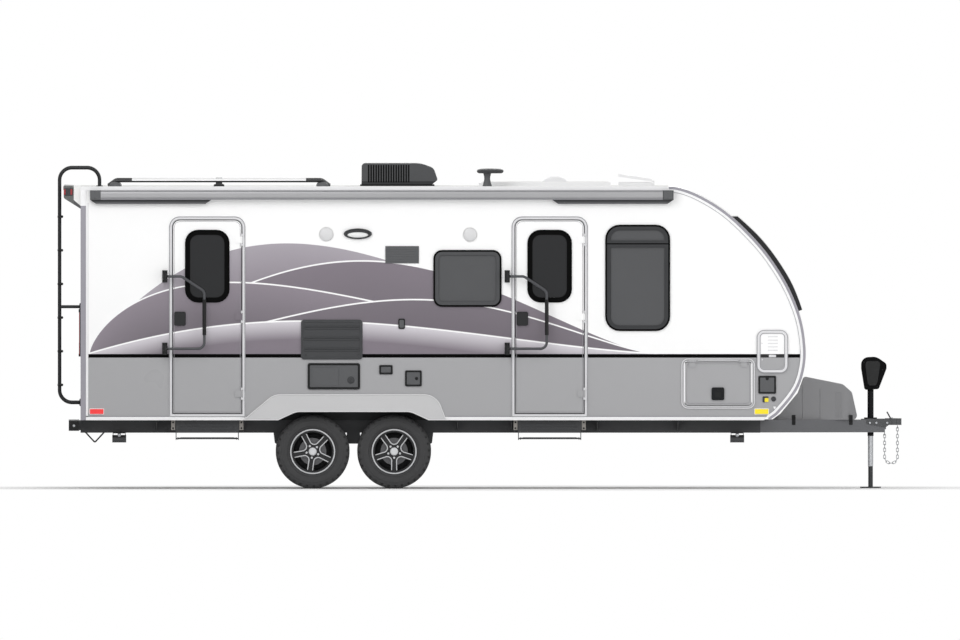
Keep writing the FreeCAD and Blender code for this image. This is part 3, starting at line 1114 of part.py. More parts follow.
def chain_link():
    """One link along Z, of square wire with cut corners."""
    wire, long, wide = S.chain_wire, S.chain_pitch / 2 + S.chain_wire - 0.25, S.chain_width / 2
    rings = []
    for inset, corner in ((0, 8), (wire, 3)):
        x, z = wide - inset, long - inset
        spots = [(corner - x, z), (x - corner, z), (x, z - corner), (x, corner - z),
                 (x - corner, -z), (corner - x, -z), (-x, corner - z), (-x, z - corner)]
        outline = Part.makePolygon([Vec(px, -wire / 2, pz) for px, pz in spots + spots[:1]])
        rings.append(Part.Face(outline).extrude(Vec(0, wire, 0)))
    return rings[0].cut(rings[1])


def build_chains():
    """Two safety chains, each from an eye below the tongue's tip to one beside the ball cup."""
    pitch, turn = S.chain_pitch, 30
    angles = [0] * 7 + [turn * step for step in range(1, 6)] + [180] * 9
    chains = []
    for sign in (1, -1):
        spot = Vec(S.tongue_tip - 3, sign * S.chain_half, S.floor_under - S.rail_height - 14 - S.chain_hole + 1.55)
        links = []
        for index, angle in enumerate(angles):
            step = Vec(math.sin(math.radians(angle)), 0, -math.cos(math.radians(angle))) * pitch
            link = chain_link()
            link.rotate(Vec(), Vec(0, 0, 1), 90 * (index % 2))
            link.rotate(Vec(), Vec(0, 1, 0), -angle)
            link.translate(spot + step * 0.5)
            links.append(link)
            spot += step
        chains.append(shaped("safety_chain", links[0].fuse(links[1:])))
    keep("safety_chains", group("safety_chains", chains))


def build_coupler():
    """A channel with a ball cup, cheeks along the tongue's arms, a latch lever and chain eyes."""
    tip_half = "tongue_tip_half + arm_width / 2"
    channel = block("coupler_channel", "tongue_tip", "ball_x - 10", "-45", "45", "ball_z - 20", "ball_z + 43")
    flange = block("coupler_flange", "tongue_tip", "tongue_tip + 10", f"-({tip_half})", tip_half,
                   "ball_z - 60", "ball_z + 43")
    cup = rod("coupler_cup", "cup_radius", "62", "ball_x", "0", "ball_z - 20", "z")
    back, tip = S.tongue_tip + 46, S.floor_under + 9
    lever = pad("coupler_lever", "XZ", lines([(back, tip), (S.ball_x - 40, tip), (S.ball_x - 40, tip + 10),
                                              (back + 10, tip + 10), (S.tongue_tip + 24, tip + 67),
                                              (S.tongue_tip + 13, tip + 61)]), "-14", "28")
    slope = math.atan2(S.tongue_root_half - S.tongue_tip_half, S.tongue_tip - S.tongue_root)
    cheeks = []
    for sign in (1, -1):
        plate = lines([(x / math.cos(slope), z) for x, z in
                       ((6 - S.flange_back, S.ball_z + 15), (17 - S.flange_back, S.ball_z + 39), (35, S.ball_z + 39),
                        (63, S.ball_z + 1), (3, S.ball_z - 42), (6 - S.flange_back, S.ball_z - 6))])
        cheek = Part.Face(Part.Wire([edge.toShape() for edge in plate]))
        cheek.rotate(Vec(), Vec(1, 0, 0), 90)
        cheek = cheek.extrude(Vec(0, 8 * sign, 0))
        cheek.rotate(Vec(), Vec(0, 0, 1), -sign * math.degrees(slope))
        start = S.tongue_tip_half + S.arm_width / 2 + 0.3
        cheek.translate(Vec(S.tongue_tip, sign * start, 0))
        cheeks.append(shaped("coupler_cheek", cheek))
    hollow = block("coupler_void", "tongue_tip + 10", "ball_x - cup_radius + 4", "-37", "37", "ball_z - 20",
                   "ball_z + 35")
    socket = shaped("coupler_socket", Part.makeSphere(S.ball_socket, Vec(S.ball_x, 0, S.ball_z)))
    mouth = rod("coupler_mouth", "ball_socket", "20", "ball_x", "0", "ball_z - 20", "z")
    reach = f"tongue_tip - 3 + chain_pitch / {math.tan(math.radians(15))}"
    eyes = [chain_eye(f"{reach} + 3", "floor_under - rail_height + 2 * chain_pitch", sign) for sign in (1, -1)]
    keep("coupler", cut("coupler", fuse("coupler_solid", [channel, flange, cup, lever] + cheeks + eyes),
                        [hollow, socket, mouth]))


def build_steps():
    """Entry steps under each door: fixed cheeks below the floor, and a tread that swings out."""
    cheeks = []
    for label, x, x_name in (("rear", S.rear_door_x, "rear_door_x"), ("front", S.front_door_x, "front_door_x")):
        fixed = []
        pivot_y, pivot_z = -S.step_pivot_y, S.step_pivot_z
        for sign in (1, -1):
            x0 = x + sign * S.step_half - (8 if sign < 0 else 0)
            plate = rounded([(pivot_y - 16, pivot_z - 14), (pivot_y + 16, pivot_z - 14),
                             (pivot_y + 150, S.floor_under), (pivot_y - 16, S.floor_under)], [13, 13, 0, 0])
            fixed.append(pad("step_cheek", "YZ", plate, f"{x0}", "8"))
        riser = ("-step_pivot_y - 16", "-step_pivot_y - 10")
        fixed.append(block("step_riser", f"{x_name} - step_half", f"{x_name} + step_half", *riser,
                           "step_pivot_z + step_open", "floor_under"))
        for place in (f"{x_name} - step_half - 14 - step_strap", f"{x_name} + step_half + 14"):
            fixed.append(block("step_strap", place, f"{place} + step_strap", *riser, "floor_under - 91",
                               "floor_under"))
        for place in (f"{x_name} - step_half - 22", f"{x_name} + step_half - 2"):
            fixed.append(block("step_tie", place, f"{place} + 24", *riser, "floor_under - 30", "floor_under"))
        fixed.append(rod("step_axle", "step_pin / 2", "2 * step_half + 8", f"{x_name} - step_half - 4",
                         "-step_pivot_y", "step_pivot_z", "x"))
        cheeks.append(fuse("step_cheeks", fixed))
        keep(f"{label}_step", shaped(f"{label}_step", step_shape(x)))
    keep("step_mounts", group("step_mounts", cheeks))


def step_shape(x):
    """Two arms on the step's axle and a tread that is level both folded and swung out."""
    arm_half = S.step_half - 8
    pivot = Vec(0, -S.step_pivot_y, S.step_pivot_z)
    low = pivot.z - S.step_plate / 2
    arms = []
    for sign in (1, -1):
        start = x + sign * arm_half - (8 if sign > 0 else 0)
        boss = Part.makeCylinder(12, 8, Vec(start, pivot.y, pivot.z), Vec(1, 0, 0))
        arms += [boss, Part.makeBox(8, S.step_arm, S.step_plate, Vec(start, pivot.y, low))]
    tread = Part.makeBox(2 * arm_half, S.step_tread, S.step_plate,
                         Vec(x - arm_half, pivot.y + S.step_arm - S.step_tread / 2, low))
    solid = arms[0].fuse(arms[1:] + [tread])
    bore = Part.makeCylinder(S.step_pin / 2 + S.running_fit, 2 * S.step_half,
                             Vec(x - S.step_half, pivot.y, pivot.z), Vec(1, 0, 0))
    return solid.cut(bore).removeSplitter()


def build_stabilisers():
    """Four swing-down legs, folded up under the frame."""
    for place, x in (("rear", S.prop_back_x), ("front", S.prop_front_x)):
        for side, sign in (("right", -1), ("left", 1)):
            y = sign * S.prop_pivot_y
            z, square, length = S.prop_pivot_z, S.prop_square, S.prop_length
            y0 = min(y, y + sign * length)
            bar = Part.makeBox(square, length, square, Vec(x - square / 2, y0, z - square / 2))
            reach = S.prop_bracket / 2 - S.prop_cheek - 6
            boss = Part.makeCylinder(square / 2, 2 * reach, Vec(x - reach, y, z), Vec(1, 0, 0))
            foot = Part.makeCylinder(30, 130, Vec(x - 65, y + sign * length, z - 8), Vec(1, 0, 0))
            bore = Part.makeCylinder(S.prop_pin / 2 + S.running_fit, 2 * reach, Vec(x - reach, y, z), Vec(1, 0, 0))
            keep(f"{place}_{side}_stabiliser", shaped(f"{place}_{side}_stabiliser",
                                                      bar.fuse([boss, foot]).cut(bore).removeSplitter()))


build_chassis()
build_running_gear()
for place, axle_x, phase in (("rear", S.rear_axle_x, -8), ("front", S.rear_axle_x + S.axle_spacing, 0)):
    for hand, sign in (("right", -1), ("left", 1)):
        build_wheel(f"{place}_{hand}", axle_x, sign, phase)
build_shell()
build_wheel_wells()
build_windows()
build_doors()
build_lockers()
build_awning()
build_roof_fittings()
build_tail()
build_wall_fittings()
build_tongue()
build_steps()
build_stabilisers()

doc.recompute()
for thing in doc.Objects:
    if "Invalid" in thing.State or "Error" in thing.State:
        raise RuntimeError(f"{thing.Name}: {thing.State}")
for piece in pieces:
    if piece.Shape.isNull() or not piece.Shape.isValid():
        raise RuntimeError(f"{piece.Label} has no sound shape")
    piece.Shape.exportStep(f"parts/{piece.Label}.step")
print(len(pieces), "pieces written")
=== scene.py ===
"""Looks of a travel caravan: paint, glass, trims, vents, tyres, lamps and hitch parts, over its CAD model."""
import math
from functools import partial

import bmesh
import bpy
from mathutils import Matrix, Vector


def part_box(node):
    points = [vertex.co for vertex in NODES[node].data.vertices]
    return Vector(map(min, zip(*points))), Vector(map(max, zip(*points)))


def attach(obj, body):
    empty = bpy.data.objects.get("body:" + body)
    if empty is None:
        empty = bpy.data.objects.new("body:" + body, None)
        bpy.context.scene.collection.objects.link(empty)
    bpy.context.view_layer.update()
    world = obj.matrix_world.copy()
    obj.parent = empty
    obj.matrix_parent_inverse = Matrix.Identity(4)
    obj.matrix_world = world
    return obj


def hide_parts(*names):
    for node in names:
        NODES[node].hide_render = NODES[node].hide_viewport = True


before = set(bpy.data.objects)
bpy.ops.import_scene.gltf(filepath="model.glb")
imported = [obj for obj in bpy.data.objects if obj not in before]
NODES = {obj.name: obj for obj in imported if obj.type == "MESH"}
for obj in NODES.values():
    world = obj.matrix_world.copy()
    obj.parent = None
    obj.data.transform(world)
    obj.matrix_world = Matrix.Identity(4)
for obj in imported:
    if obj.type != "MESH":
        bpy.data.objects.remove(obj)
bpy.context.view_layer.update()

SIDE = -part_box("right_wall")[0].y
ROOF_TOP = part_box("roof")[1].z
BODY_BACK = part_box("rear_wall")[0].x
DOOR_MIDDLES = {"rear": -2.526, "front": 0.660}
WHEELS = {"rear": -1.545, "front": -0.787}
AXLE_HEIGHT, WHEEL_PLANE = 0.344, 1.02
BELT = (1.219, 1.252)
GRIP = (1.429, 1.760)
STEP_STRAP = 0.318
RUNG_COUNT, RUNG_PITCH = 6, 0.313
UP = (0, 0, 1)
RIGHT, LEFT = -1, 1
BOTH = (RIGHT, LEFT)
HANDS = {"right": RIGHT, "left": LEFT}
CORNERS = ("rear_right", "rear_left", "front_right", "front_left")


def linear(code):
    """An sRGB hex colour as the linear numbers that a shader takes."""
    channels = [int(code[start:start + 2], 16) / 255 for start in (1, 3, 5)]
    return [c / 12.92 if c <= 0.04045 else ((c + 0.055) / 1.055) ** 2.4 for c in channels] + [1.0]


def add(tree, kind, sockets=None, **settings):
    """Adds one shader node, sets it up and links or fills its sockets."""
    made = tree.nodes.new("ShaderNode" + kind)
    for name, value in settings.items():
        setattr(made, name, value)
    for name, value in (sockets or {}).items():
        if isinstance(value, bpy.types.NodeSocket):
            tree.links.new(value, made.inputs[name])
        else:
            made.inputs[name].default_value = value
    return made


def within(tree, value, low, high):
    """1 where the value lies between two limits, 0 elsewhere."""
    test = add(tree, "Math", {0: value, 1: (low + high) / 2, 2: (high - low) / 2}, operation="COMPARE")
    return test.outputs[0]


def both(tree, first, second):
    """1 where both masks are 1."""
    return add(tree, "Math", {0: first, 1: second}, operation="MULTIPLY").outputs[0]


def out_from_middle(tree, y):
    """The distance from the centre plane, on either side."""
    return add(tree, "Math", {0: y}, operation="ABSOLUTE").outputs[0]


def over(tree, mask, base, colour):
    """The colour laid over a base where the mask is 1."""
    colour = linear(colour) if isinstance(colour, str) else colour
    layer = add(tree, "Mix", {0: mask, 6: base, 7: colour}, data_type="RGBA")
    return layer.outputs[2]


def bands(tree, base, value, *limits):
    """Colours laid over a base one after the other, each between its two limits."""
    for low, high, colour in limits:
        base = over(tree, within(tree, value, low, high), base, colour)
    return base


def banded(axis, *limits):
    """A paint of plain bands along one axis, 0 for x and 2 for z."""
    return lambda tree, base, *place: bands(tree, base, place[axis], *limits)


def finish(name, colour, roughness, metallic=0.0, tone=0.03, patch=0.3, grain=0.0, grain_size=0.003,
           coat=0.0, paint=None, stretch=(1, 1, 1), specular=0.5):
    """A surface with faint tone patches, uneven gloss and a fine grain; paint lays a pattern over its colour."""
    made = bpy.data.materials.new(name)
    made.use_nodes = True
    tree = made.node_tree
    shader = tree.nodes["Principled BSDF"]
    place = add(tree, "TexCoord").outputs["Object"]
    split = add(tree, "SeparateXYZ", {0: place})
    base = add(tree, "RGB").outputs[0]
    base.default_value = linear(colour)
    if paint:
        base = paint(tree, base, split.outputs[0], split.outputs[1], split.outputs[2])
    clouds = add(tree, "TexNoise", {"Vector": place, "Scale": 1 / patch, "Detail": 3.0})
    lift = add(tree, "MapRange", {0: clouds.outputs[0], 1: 0.15, 2: 0.85, 3: 1 - tone, 4: 1 + tone})
    tinted = add(tree, "HueSaturation", {"Value": lift.outputs[0], "Color": base})
    tree.links.new(tinted.outputs[0], shader.inputs["Base Color"])
    gloss = add(tree, "MapRange", {0: clouds.outputs[0], 1: 0.15, 2: 0.85, 3: roughness * 0.85, 4: roughness * 1.15})
    tree.links.new(gloss.outputs[0], shader.inputs["Roughness"])
    for socket, value in (("Metallic", metallic), ("Coat Weight", coat), ("Coat Roughness", 0.08),
                          ("Specular IOR Level", specular)):
        shader.inputs[socket].default_value = value
    if grain:
        drawn = add(tree, "Mapping", {"Vector": place, "Scale": stretch})
        speck = add(tree, "TexNoise", {"Vector": drawn.outputs[0], "Scale": 1 / grain_size, "Detail": 2.0})
        relief = add(tree, "Bump", {"Height": speck.outputs[0], "Strength": grain, "Distance": 0.001})
        tree.links.new(relief.outputs[0], shader.inputs["Normal"])
    return made


# where each sweep's crest stands, how high it rises, and its tones from crest to foot
SWEEPS = ((0.66, 1.03, "#A8A2AA", "#7F7780"), (0.95, 0.86, "#7F7780", "#736C74"),
          (0.50, 0.66, "#8C848D", "#756E76"), (1.25, 0.50, "#766F77", "#6E676F"),
          (0.72, 0.30, "#D3CFD5", "#7F7780"))
SWEEP_START, SWEEP_LENGTH, SWEEP_SHARPNESS = -3.62, 5.25, 1.35


def sweeping_bands(tree, base, x, z):
    """Long curved bands that rise from the belt line behind and run out to a point in front."""
    share = add(tree, "MapRange", {0: x, 1: SWEEP_START, 2: SWEEP_START + SWEEP_LENGTH, 3: 0.0, 4: 1.0})
    for crest, rise, high_tone, low_tone in SWEEPS:
        moved = add(tree, "Math", {0: share.outputs[0], 1: crest}, operation="POWER")
        turn = add(tree, "Math", {0: moved.outputs[0], 1: math.pi}, operation="MULTIPLY")
        wave = add(tree, "Math", {0: turn.outputs[0]}, operation="SINE", use_clamp=True)
        sharp = add(tree, "Math", {0: wave.outputs[0], 1: SWEEP_SHARPNESS}, operation="POWER")
        edge = add(tree, "Math", {0: sharp.outputs[0], 1: rise, 2: BELT[1]}, operation="MULTIPLY_ADD")
        depth = add(tree, "Math", {0: edge.outputs[0], 1: z}, operation="SUBTRACT")
        line = add(tree, "MapRange", {0: depth.outputs[0], 1: -0.016, 2: -0.012})
        base = over(tree, line.outputs[0], base, "#FDFDFD")
        fade = add(tree, "MapRange", {0: depth.outputs[0], 1: 0.0, 2: rise * 0.55})
        tones = add(tree, "Mix", {0: fade.outputs[0], 6: linear(high_tone), 7: linear(low_tone)}, data_type="RGBA")
        body = add(tree, "MapRange", {0: depth.outputs[0], 1: -0.001, 2: 0.001})
        base = over(tree, body.outputs[0], base, tones.outputs[2])
    return base


def body_layers(tree, base, x, y, z):
    """White above the belt line with its bands, grey below, and the belt and foot lines."""
    return bands(tree, sweeping_bands(tree, base, x, z), z, (0.0, BELT[0], "#A6A6A8"), (*BELT, "#0B0B0C"),
                 (0.0, 0.672, "#F4F4F4"), (0.668, 0.674, "#8E8E90"))


def panel_layers(x_span, z_span):
    """Body paint on a leaf whose raised parts, inside these limits, are black plastic."""
    def paint(tree, base, x, y, z):
        base = body_layers(tree, base, x, y, z)
        raised = within(tree, out_from_middle(tree, y), SIDE + 0.0072, SIDE + 1)
        black = both(tree, within(tree, x, *x_span), within(tree, z, *z_span))
        return over(tree, both(tree, raised, black), base, "#17181A")
    return paint


def wheel_layers(middle):
    """Black enamel wheel whose lip, window edges, nuts and cap were turned bright after painting."""
    def paint(tree, base, x, y, z):
        across_hub = add(tree, "Math", {0: x, 1: middle}, operation="SUBTRACT").outputs[0]
        up = add(tree, "Math", {0: z, 1: AXLE_HEIGHT}, operation="SUBTRACT").outputs[0]
        flat = add(tree, "CombineXYZ", {0: across_hub, 1: up}).outputs[0]
        radius = add(tree, "VectorMath", {0: flat}, operation="LENGTH").outputs["Value"]
        out = out_from_middle(tree, y)
        # the turned face, the lip, the hub cap and the drum: radii, distances from the centre plane, tone
        for inner, outer, near, far, colour in ((0.0, 0.176, WHEEL_PLANE + 0.0535, 2, "#C9CACC"),
                                                (0.1975, 0.3, 0, 2, "#C4C5C7"),
                                                (0.0, 0.037, WHEEL_PLANE + 0.05, 2, "#D8D9DB"),
                                                (0.0, 0.13, 0, WHEEL_PLANE - 0.04, "#77777A")):
            ring = both(tree, within(tree, radius, inner, outer), within(tree, out, near, far))
            base = over(tree, ring, base, colour)
        return base
    return paint


def awning_layers(tree, base, x, y, z):
    """Dark castings at both ends and two-tone arms under the grey case."""
    low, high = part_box("awning")
    cap_length, spare = 0.1, 0.01
    base = bands(tree, base, x, (low.x - spare, low.x + cap_length, "#5A5B5D"),
                 (high.x - cap_length, high.x + spare, "#4A4B4D"))
    return bands(tree, base, z, (low.z - spare, low.z + 0.0375, "#2C2D2F"), (low.z - spare, low.z + 0.020, "#4E4F51"))


def handle_layers(tree, base, x, y, z):
    """A black foam grip on the upright of the grab handle, and black pivot ends."""
    base = bands(tree, base, x, *[(middle - 0.43, middle - 0.362, "#141516") for middle in DOOR_MIDDLES.values()])
    return bands(tree, base, z, (*GRIP, "#0C0C0D"))


def rail_layers(tree, base, x, y, z):
    """Black end sleeves and middle foot on a pale tube, and a painted highlight: a grey band along the top of the tube.
    """
    low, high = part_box("roof_rails")
    sleeve, spare = 0.23, 0.01
    # the second band is a painted highlight: grey along the tube's top, where the light falls on it
    base = bands(tree, base, z, (low.z - spare, high.z - 0.021, "#222325"),
                 (high.z - 0.004, high.z + spare, "#A0A1A4"))
    return bands(tree, base, x, (low.x - spare, low.x + sleeve, "#1B1C1E"),
                 (high.x - sleeve, high.x + spare, "#1B1C1E"))


def corner_layers(tree, base, x, y, z):
    """Lilac corner moulding that turns white beside the lamp pod."""
    return over(tree, both(tree, within(tree, x, -4, -3.6), within(tree, z, 2.632, 3)), base, "#F3F3F4")


def pod_layers(tree, base, x, y, z):
    """Grey under the slanting foot of the white lamp pod, and at its tail."""
    foot = add(tree, "MapRange", {0: x, 1: -3.862, 2: -3.705, 3: 2.765, 4: 2.632}).outputs[0]
    under = add(tree, "Math", {0: z, 1: foot}, operation="LESS_THAN").outputs[0]
    return bands(tree, over(tree, under, base, "#4B4C4E"), x, (-4, -3.768, "#5E605F"))


def cooler_layers(tree, base, x, y, z):
    """A darker base pan under the hood, and shade inside the side slots."""
    slots = both(tree, within(tree, out_from_middle(tree, y), 0.20, 0.3485), within(tree, x, -1.035, -0.640))
    base = over(tree, both(tree, slots, within(tree, z, 2.842, 3.010)), base, "#040405")
    return bands(tree, base, z, (ROOF_TOP - 0.01, ROOF_TOP + 0.045, "#2A2B2D"))


# gel-coated fibreglass: a glossy skin whose long ripples only show in its highlights
gel = partial(finish, colour="#FDFDFD", roughness=0.3, tone=0.003, patch=0.9, grain=0.04, grain_size=0.02,
              coat=0.12, specular=0.35)
gelcoat = gel("gelcoat_panel", paint=body_layers)
rear_door_coat = gel("rear_door_gelcoat", paint=panel_layers((-2.9, -2.29), (0, 3)))
front_door_coat = gel("front_door_gelcoat", paint=panel_layers((0.3, 0.9), (0, 3)))
locker_coat = gel("locker_gelcoat", paint=panel_layers((1.5, 3), (0.5, 1.05)))
# rolled roof membrane: dull, slightly uneven white rubber
roof_membrane = finish("roof_membrane", "#EDEDEB", 0.7, tone=0.03, patch=0.5, grain=0.25, grain_size=0.01)
# anodised extrusions: satin aluminium drawn along its length, with black castings at the handle pivots
extrusion = partial(finish, tone=0.02, grain=0.1, grain_size=0.004)
corner_extrusion = extrusion("corner_extrusion", "#98969E", 0.42, 0.25, grain=0.15, stretch=(0.05, 1, 0.05),
                             paint=corner_layers)
white_extrusion = extrusion("white_extrusion", "#F3F3F4", 0.38, tone=0.015, grain=0.08, grain_size=0.006)
door_extrusion = extrusion("door_extrusion", "#DADADC", 0.36, 0.2)
frame_extrusion = extrusion("frame_extrusion", "#DADADC", 0.36, 0.2, paint=banded(
    0, *[(middle - 0.43, middle - 0.358, "#101112") for middle in DOOR_MIDDLES.values()]))
grey_extrusion = extrusion("grey_extrusion", "#8E8E92", 0.4, 0.3)
awning_metal = extrusion("awning_metal", "#A4A4A6", 0.4, 0.25, tone=0.015, grain=0.2, stretch=(0.02, 1, 1),
                         paint=awning_layers)
# powder-coated steel: charcoal with a fine pebbled skin; the step hangers are bare galvanised straps
powder = partial(finish, tone=0.05, patch=0.2, grain=0.3, grain_size=0.003)
chassis_coat = powder("chassis_powder_coat", "#454648", 0.5, specular=0.3, tone=0.06)
tongue_coat = powder("tongue_powder_coat", "#656669", 0.48)
coupler_coat = powder("coupler_powder_coat", "#4A4B4D", 0.45, patch=0.1)
axle_coat = powder("axle_paint", "#242527", 0.55, tone=0.1, patch=0.08, grain_size=0.004)
step_coat = powder("step_powder_coat", "#3A3B3D", 0.55, patch=0.1, grain=0.4, grain_size=0.002)
hanger_coat = powder("step_hanger_coat", "#303133", 0.55, patch=0.1, grain=0.4, grain_size=0.002, paint=banded(
    0, *[(middle + strap - 0.0185, middle + strap + 0.0185, "#8B8782")
         for middle in DOOR_MIDDLES.values() for strap in (-STEP_STRAP, STEP_STRAP)]))
# zinc plate: bright grey steel with cloudy tone
zinc = finish("zinc_plate", "#A9ABAE", 0.3, 0.85, tone=0.1, grain=0.1, patch=0.03, grain_size=0.002)
# tyre rubber: dull charcoal with a dusty bloom
tyre_rubber = finish("tyre_rubber", "#3A3A3B", 0.78, tone=0.09, patch=0.05, grain=0.35, grain_size=0.002)
# moulded ABS and polypropylene: even colour with a leather-fine grain
moulded = partial(finish, grain=0.3, grain_size=0.0015, specular=0.3)
black_plastic = moulded("black_moulded_plastic", "#131415", 0.45, tone=0.04, specular=0.25)
latch_plastic = moulded("latch_plastic", "#1A1B1D", 0.5, specular=0.15)
panel_plastic = moulded("panel_plastic", "#0F1011", 0.35, patch=0.05, grain=0.2)
foot_plastic = moulded("foot_plastic", "#5B5C5E", 0.45, grain=0.2)
lamp_rim = moulded("lamp_rim_plastic", "#3C3D3F", 0.35, grain=0.1)
louvre_plastic = moulded("louvre_plastic", "#58595B", 0.5, tone=0.02, grain=0.2)
grey_plastic = moulded("grey_moulded_plastic", "#3C3D3F", 0.5)
vent_plastic = moulded("vent_plastic", "#404143", 0.5)
well_plastic = finish("well_plastic", "#1F2022", 0.7, tone=0.08, grain=0.4, grain_size=0.004)
cover_plastic = finish("cover_plastic", "#878789", 0.42, grain=0.35)
cooler_plastic = moulded("cooler_plastic", "#4B4C4E", 0.5, patch=0.2, grain=0.25, grain_size=0.002,
                         paint=cooler_layers)
# the same in pale tones, smoother
pale = partial(finish, tone=0.015, grain=0.1, grain_size=0.002)
white_plastic = pale("white_moulded_plastic", "#F4F4F3", 0.35)
pod_plastic = pale("pod_plastic", "#F4F4F3", 0.35, paint=pod_layers)
pale_plastic = pale("pale_moulded_plastic", "#DADADB", 0.4, tone=0.02, grain=0.15)
roof_plastic = pale("roof_plastic", "#EFEFF0", 0.4, tone=0.02, grain=0.15)
skirt_plastic = pale("skirt_plastic", "#C6C6C7", 0.36, patch=0.6, grain=0.08, grain_size=0.01, coat=0.15)
bead_plastic = pale("bead_plastic", "#DADADB", 0.36, patch=0.6, grain=0.08, grain_size=0.01)
# butyl seals: soft black rubber
seal_rubber = finish("seal_rubber", "#030303", 0.6, tone=0.05, grain=0.2, specular=0.06)
# cast vinyl tape: a flat, even black
belt_vinyl = finish("belt_vinyl", "#020202", 0.55, tone=0.02, grain=0.1, grain_size=0.004, specular=0.04)
# window frames: black powder coat with a stepped, lighter moulded face
window_metal = finish("window_powder_coat", "#0F1011", 0.45, grain=0.2, grain_size=0.002, specular=0.25)
window_face = moulded("window_face", "#4A4B4D", 0.35, grain=0.1, grain_size=0.002)
tall_window_face = moulded("tall_window_face", "#333436", 0.35, grain=0.1, grain_size=0.002)
# tinted acrylic and glass: opaque from outside in daylight, very smooth
tinted = partial(finish, tone=0.05, patch=0.6, specular=0.3)
window_acrylic = tinted("window_acrylic", "#4F5052", 0.12, specular=0.4)
door_glass = tinted("door_glass", "#1F2022", 0.1)
nose_acrylic = tinted("nose_acrylic", "#1F2022", 0.1)
# sealed floor board: dull brown with a grain that runs lengthwise
floor_board = finish("sealed_floor_board", "#5B5247", 0.65, tone=0.12, patch=0.1, grain=0.4, grain_size=0.006,
                     stretch=(0.1, 1, 1))
# coated tubes: satin handles, black ladder, pale roof rails, bright jack leg with a dark foot under a black jack
handle_metal = finish("handle_metal", "#4B4C4F", 0.38, specular=0.3, grain=0.15, paint=handle_layers)
ladder_metal = finish("ladder_powder_coat", "#1B1C1E", 0.4, specular=0.3, tone=0.04, grain=0.2, grain_size=0.002)
rail_metal = finish("rail_metal", "#F0F0F1", 0.34, 0.1, tone=0.02, grain=0.1, paint=rail_layers)
leg_zinc = finish("leg_zinc", "#BFC1C4", 0.32, 0.6, tone=0.06, patch=0.05, grain=0.1, grain_size=0.002,
                  paint=banded(2, (-0.1, 0.2025, "#3A3B3D")))
jack_paint = finish("jack_paint", "#020203", 0.45, specular=0.08, tone=0.04, grain=0.25, grain_size=0.002,
                    paint=banded(2, (0, 0.905, "#1B1B1D")))
# acrylic lenses: glossy and even; red on the sides behind, dark red on the tail, amber in front
lensed = partial(finish, roughness=0.14, patch=0.02, coat=0.5)
lens = lensed("lamp_lens", "#FF2E30", paint=banded(0, (-4, -3.69, "#98242C"), (0, 9, "#FFE600")))
dark_red_lens = lensed("dark_red_lens", "#98141F")
amber_lens = lensed("amber_lens", "#F7E21A")
clear_lens = lensed("clear_lens", "#E9EAEA", roughness=0.12, tone=0.02)
# baked enamel on cast wheels: deep black with a thin clear coat
wheel_finishes = {place: finish(f"{place}_wheel_enamel", "#161719", 0.3, 0.35, coat=0.2, paint=wheel_layers(middle))
                  for place, middle in WHEELS.items()}

NODE_FINISHES = {
    gelcoat: ("right_wall", "left_wall", "rear_wall", "nose", "locker_frames"),
    rear_door_coat: ("rear_door",),
    front_door_coat: ("front_door",),
    locker_coat: ("right_locker_door", "left_locker_door"),
    roof_membrane: ("roof",),
    frame_extrusion: ("door_frames",),
    chassis_coat: ("frame_rails", "cross_members", "rear_bumper", *[f"{corner}_stabiliser" for corner in CORNERS]),
    tongue_coat: ("tongue",),
    coupler_coat: ("coupler",),
    axle_coat: ("axles", "leaf_springs"),
    step_coat: ("rear_step", "front_step"),
    hanger_coat: ("step_mounts",),
    zinc: ("safety_chains",),
    leg_zinc: ("jack_leg",),
    pod_plastic: ("lamp_pod",),
    well_plastic: ("wheel_wells",),
    skirt_plastic: ("fender_skirts",),
    window_metal: ("window_frames",),
    window_acrylic: ("window_panes",),
    nose_acrylic: ("nose_window",),
    door_glass: ("rear_door_glass", "front_door_glass"),
    handle_metal: ("rear_handle", "front_handle"),
    awning_metal: ("awning",),
    cooler_plastic: ("air_conditioner",),
    rail_metal: ("roof_rails",),
    roof_plastic: ("skylight", "hatch_frame", "hatch_lid"),
    grey_plastic: ("antenna",),
    ladder_metal: ("ladder_stiles", "ladder_rungs"),
    white_plastic: ("wall_fittings",),
    lens: ("lamps",),
    cover_plastic: ("tank_cover",),
    jack_paint: ("tongue_jack",),
    floor_board: ("floor",),
    wheel_finishes["rear"]: ("rear_right_rim", "rear_left_rim"),
    wheel_finishes["front"]: ("front_right_rim", "front_left_rim"),
    tyre_rubber: tuple(f"{corner}_tyre" for corner in CORNERS),
}
for coating, names in NODE_FINISHES.items():
    for name in names:
        shape = NODES[name]
        shape.data.materials.clear()
        shape.data.materials.append(coating)


def piece(name, form, coating, body="caravan", slot="dark_plastic", soften=0.0, hides=()):
    """Turns a finished bmesh into an object that rides on a body of the caravan."""
    bmesh.ops.recalc_face_normals(form, faces=form.faces[:])
    mesh = bpy.data.meshes.new(name)
    form.to_mesh(mesh)
    form.free()
    mesh.shade_smooth()
    mesh.set_sharp_from_angle(angle=math.radians(32))
    mesh.materials.append(coating)
    made = bpy.data.objects.new(name, mesh)
    bpy.context.scene.collection.objects.link(made)
    if soften:
        rounding = made.modifiers.new("soft edges", "BEVEL")
        rounding.width = soften
        rounding.segments = 2
        rounding.limit_method = "ANGLE"
    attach(made, body)
    for node in hides:
        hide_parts(node)


def about(middle, half):
    """The limits of a span, from its middle and half its width."""
    return middle - half, middle + half


def shrunk(span, by):
    """A span drawn in at both ends."""
    return span[0] + by, span[1] - by


def across(side, *reach):
    """The low and high y of what lies between two distances from the centre plane, on one side."""
    return sorted(side * out for out in reach)


def join(whole, form):
    """Adds one bmesh to another and frees it."""
    carried = bpy.data.meshes.new("carried")
    form.to_mesh(carried)
    form.free()
    whole.from_mesh(carried)
    bpy.data.meshes.remove(carried)


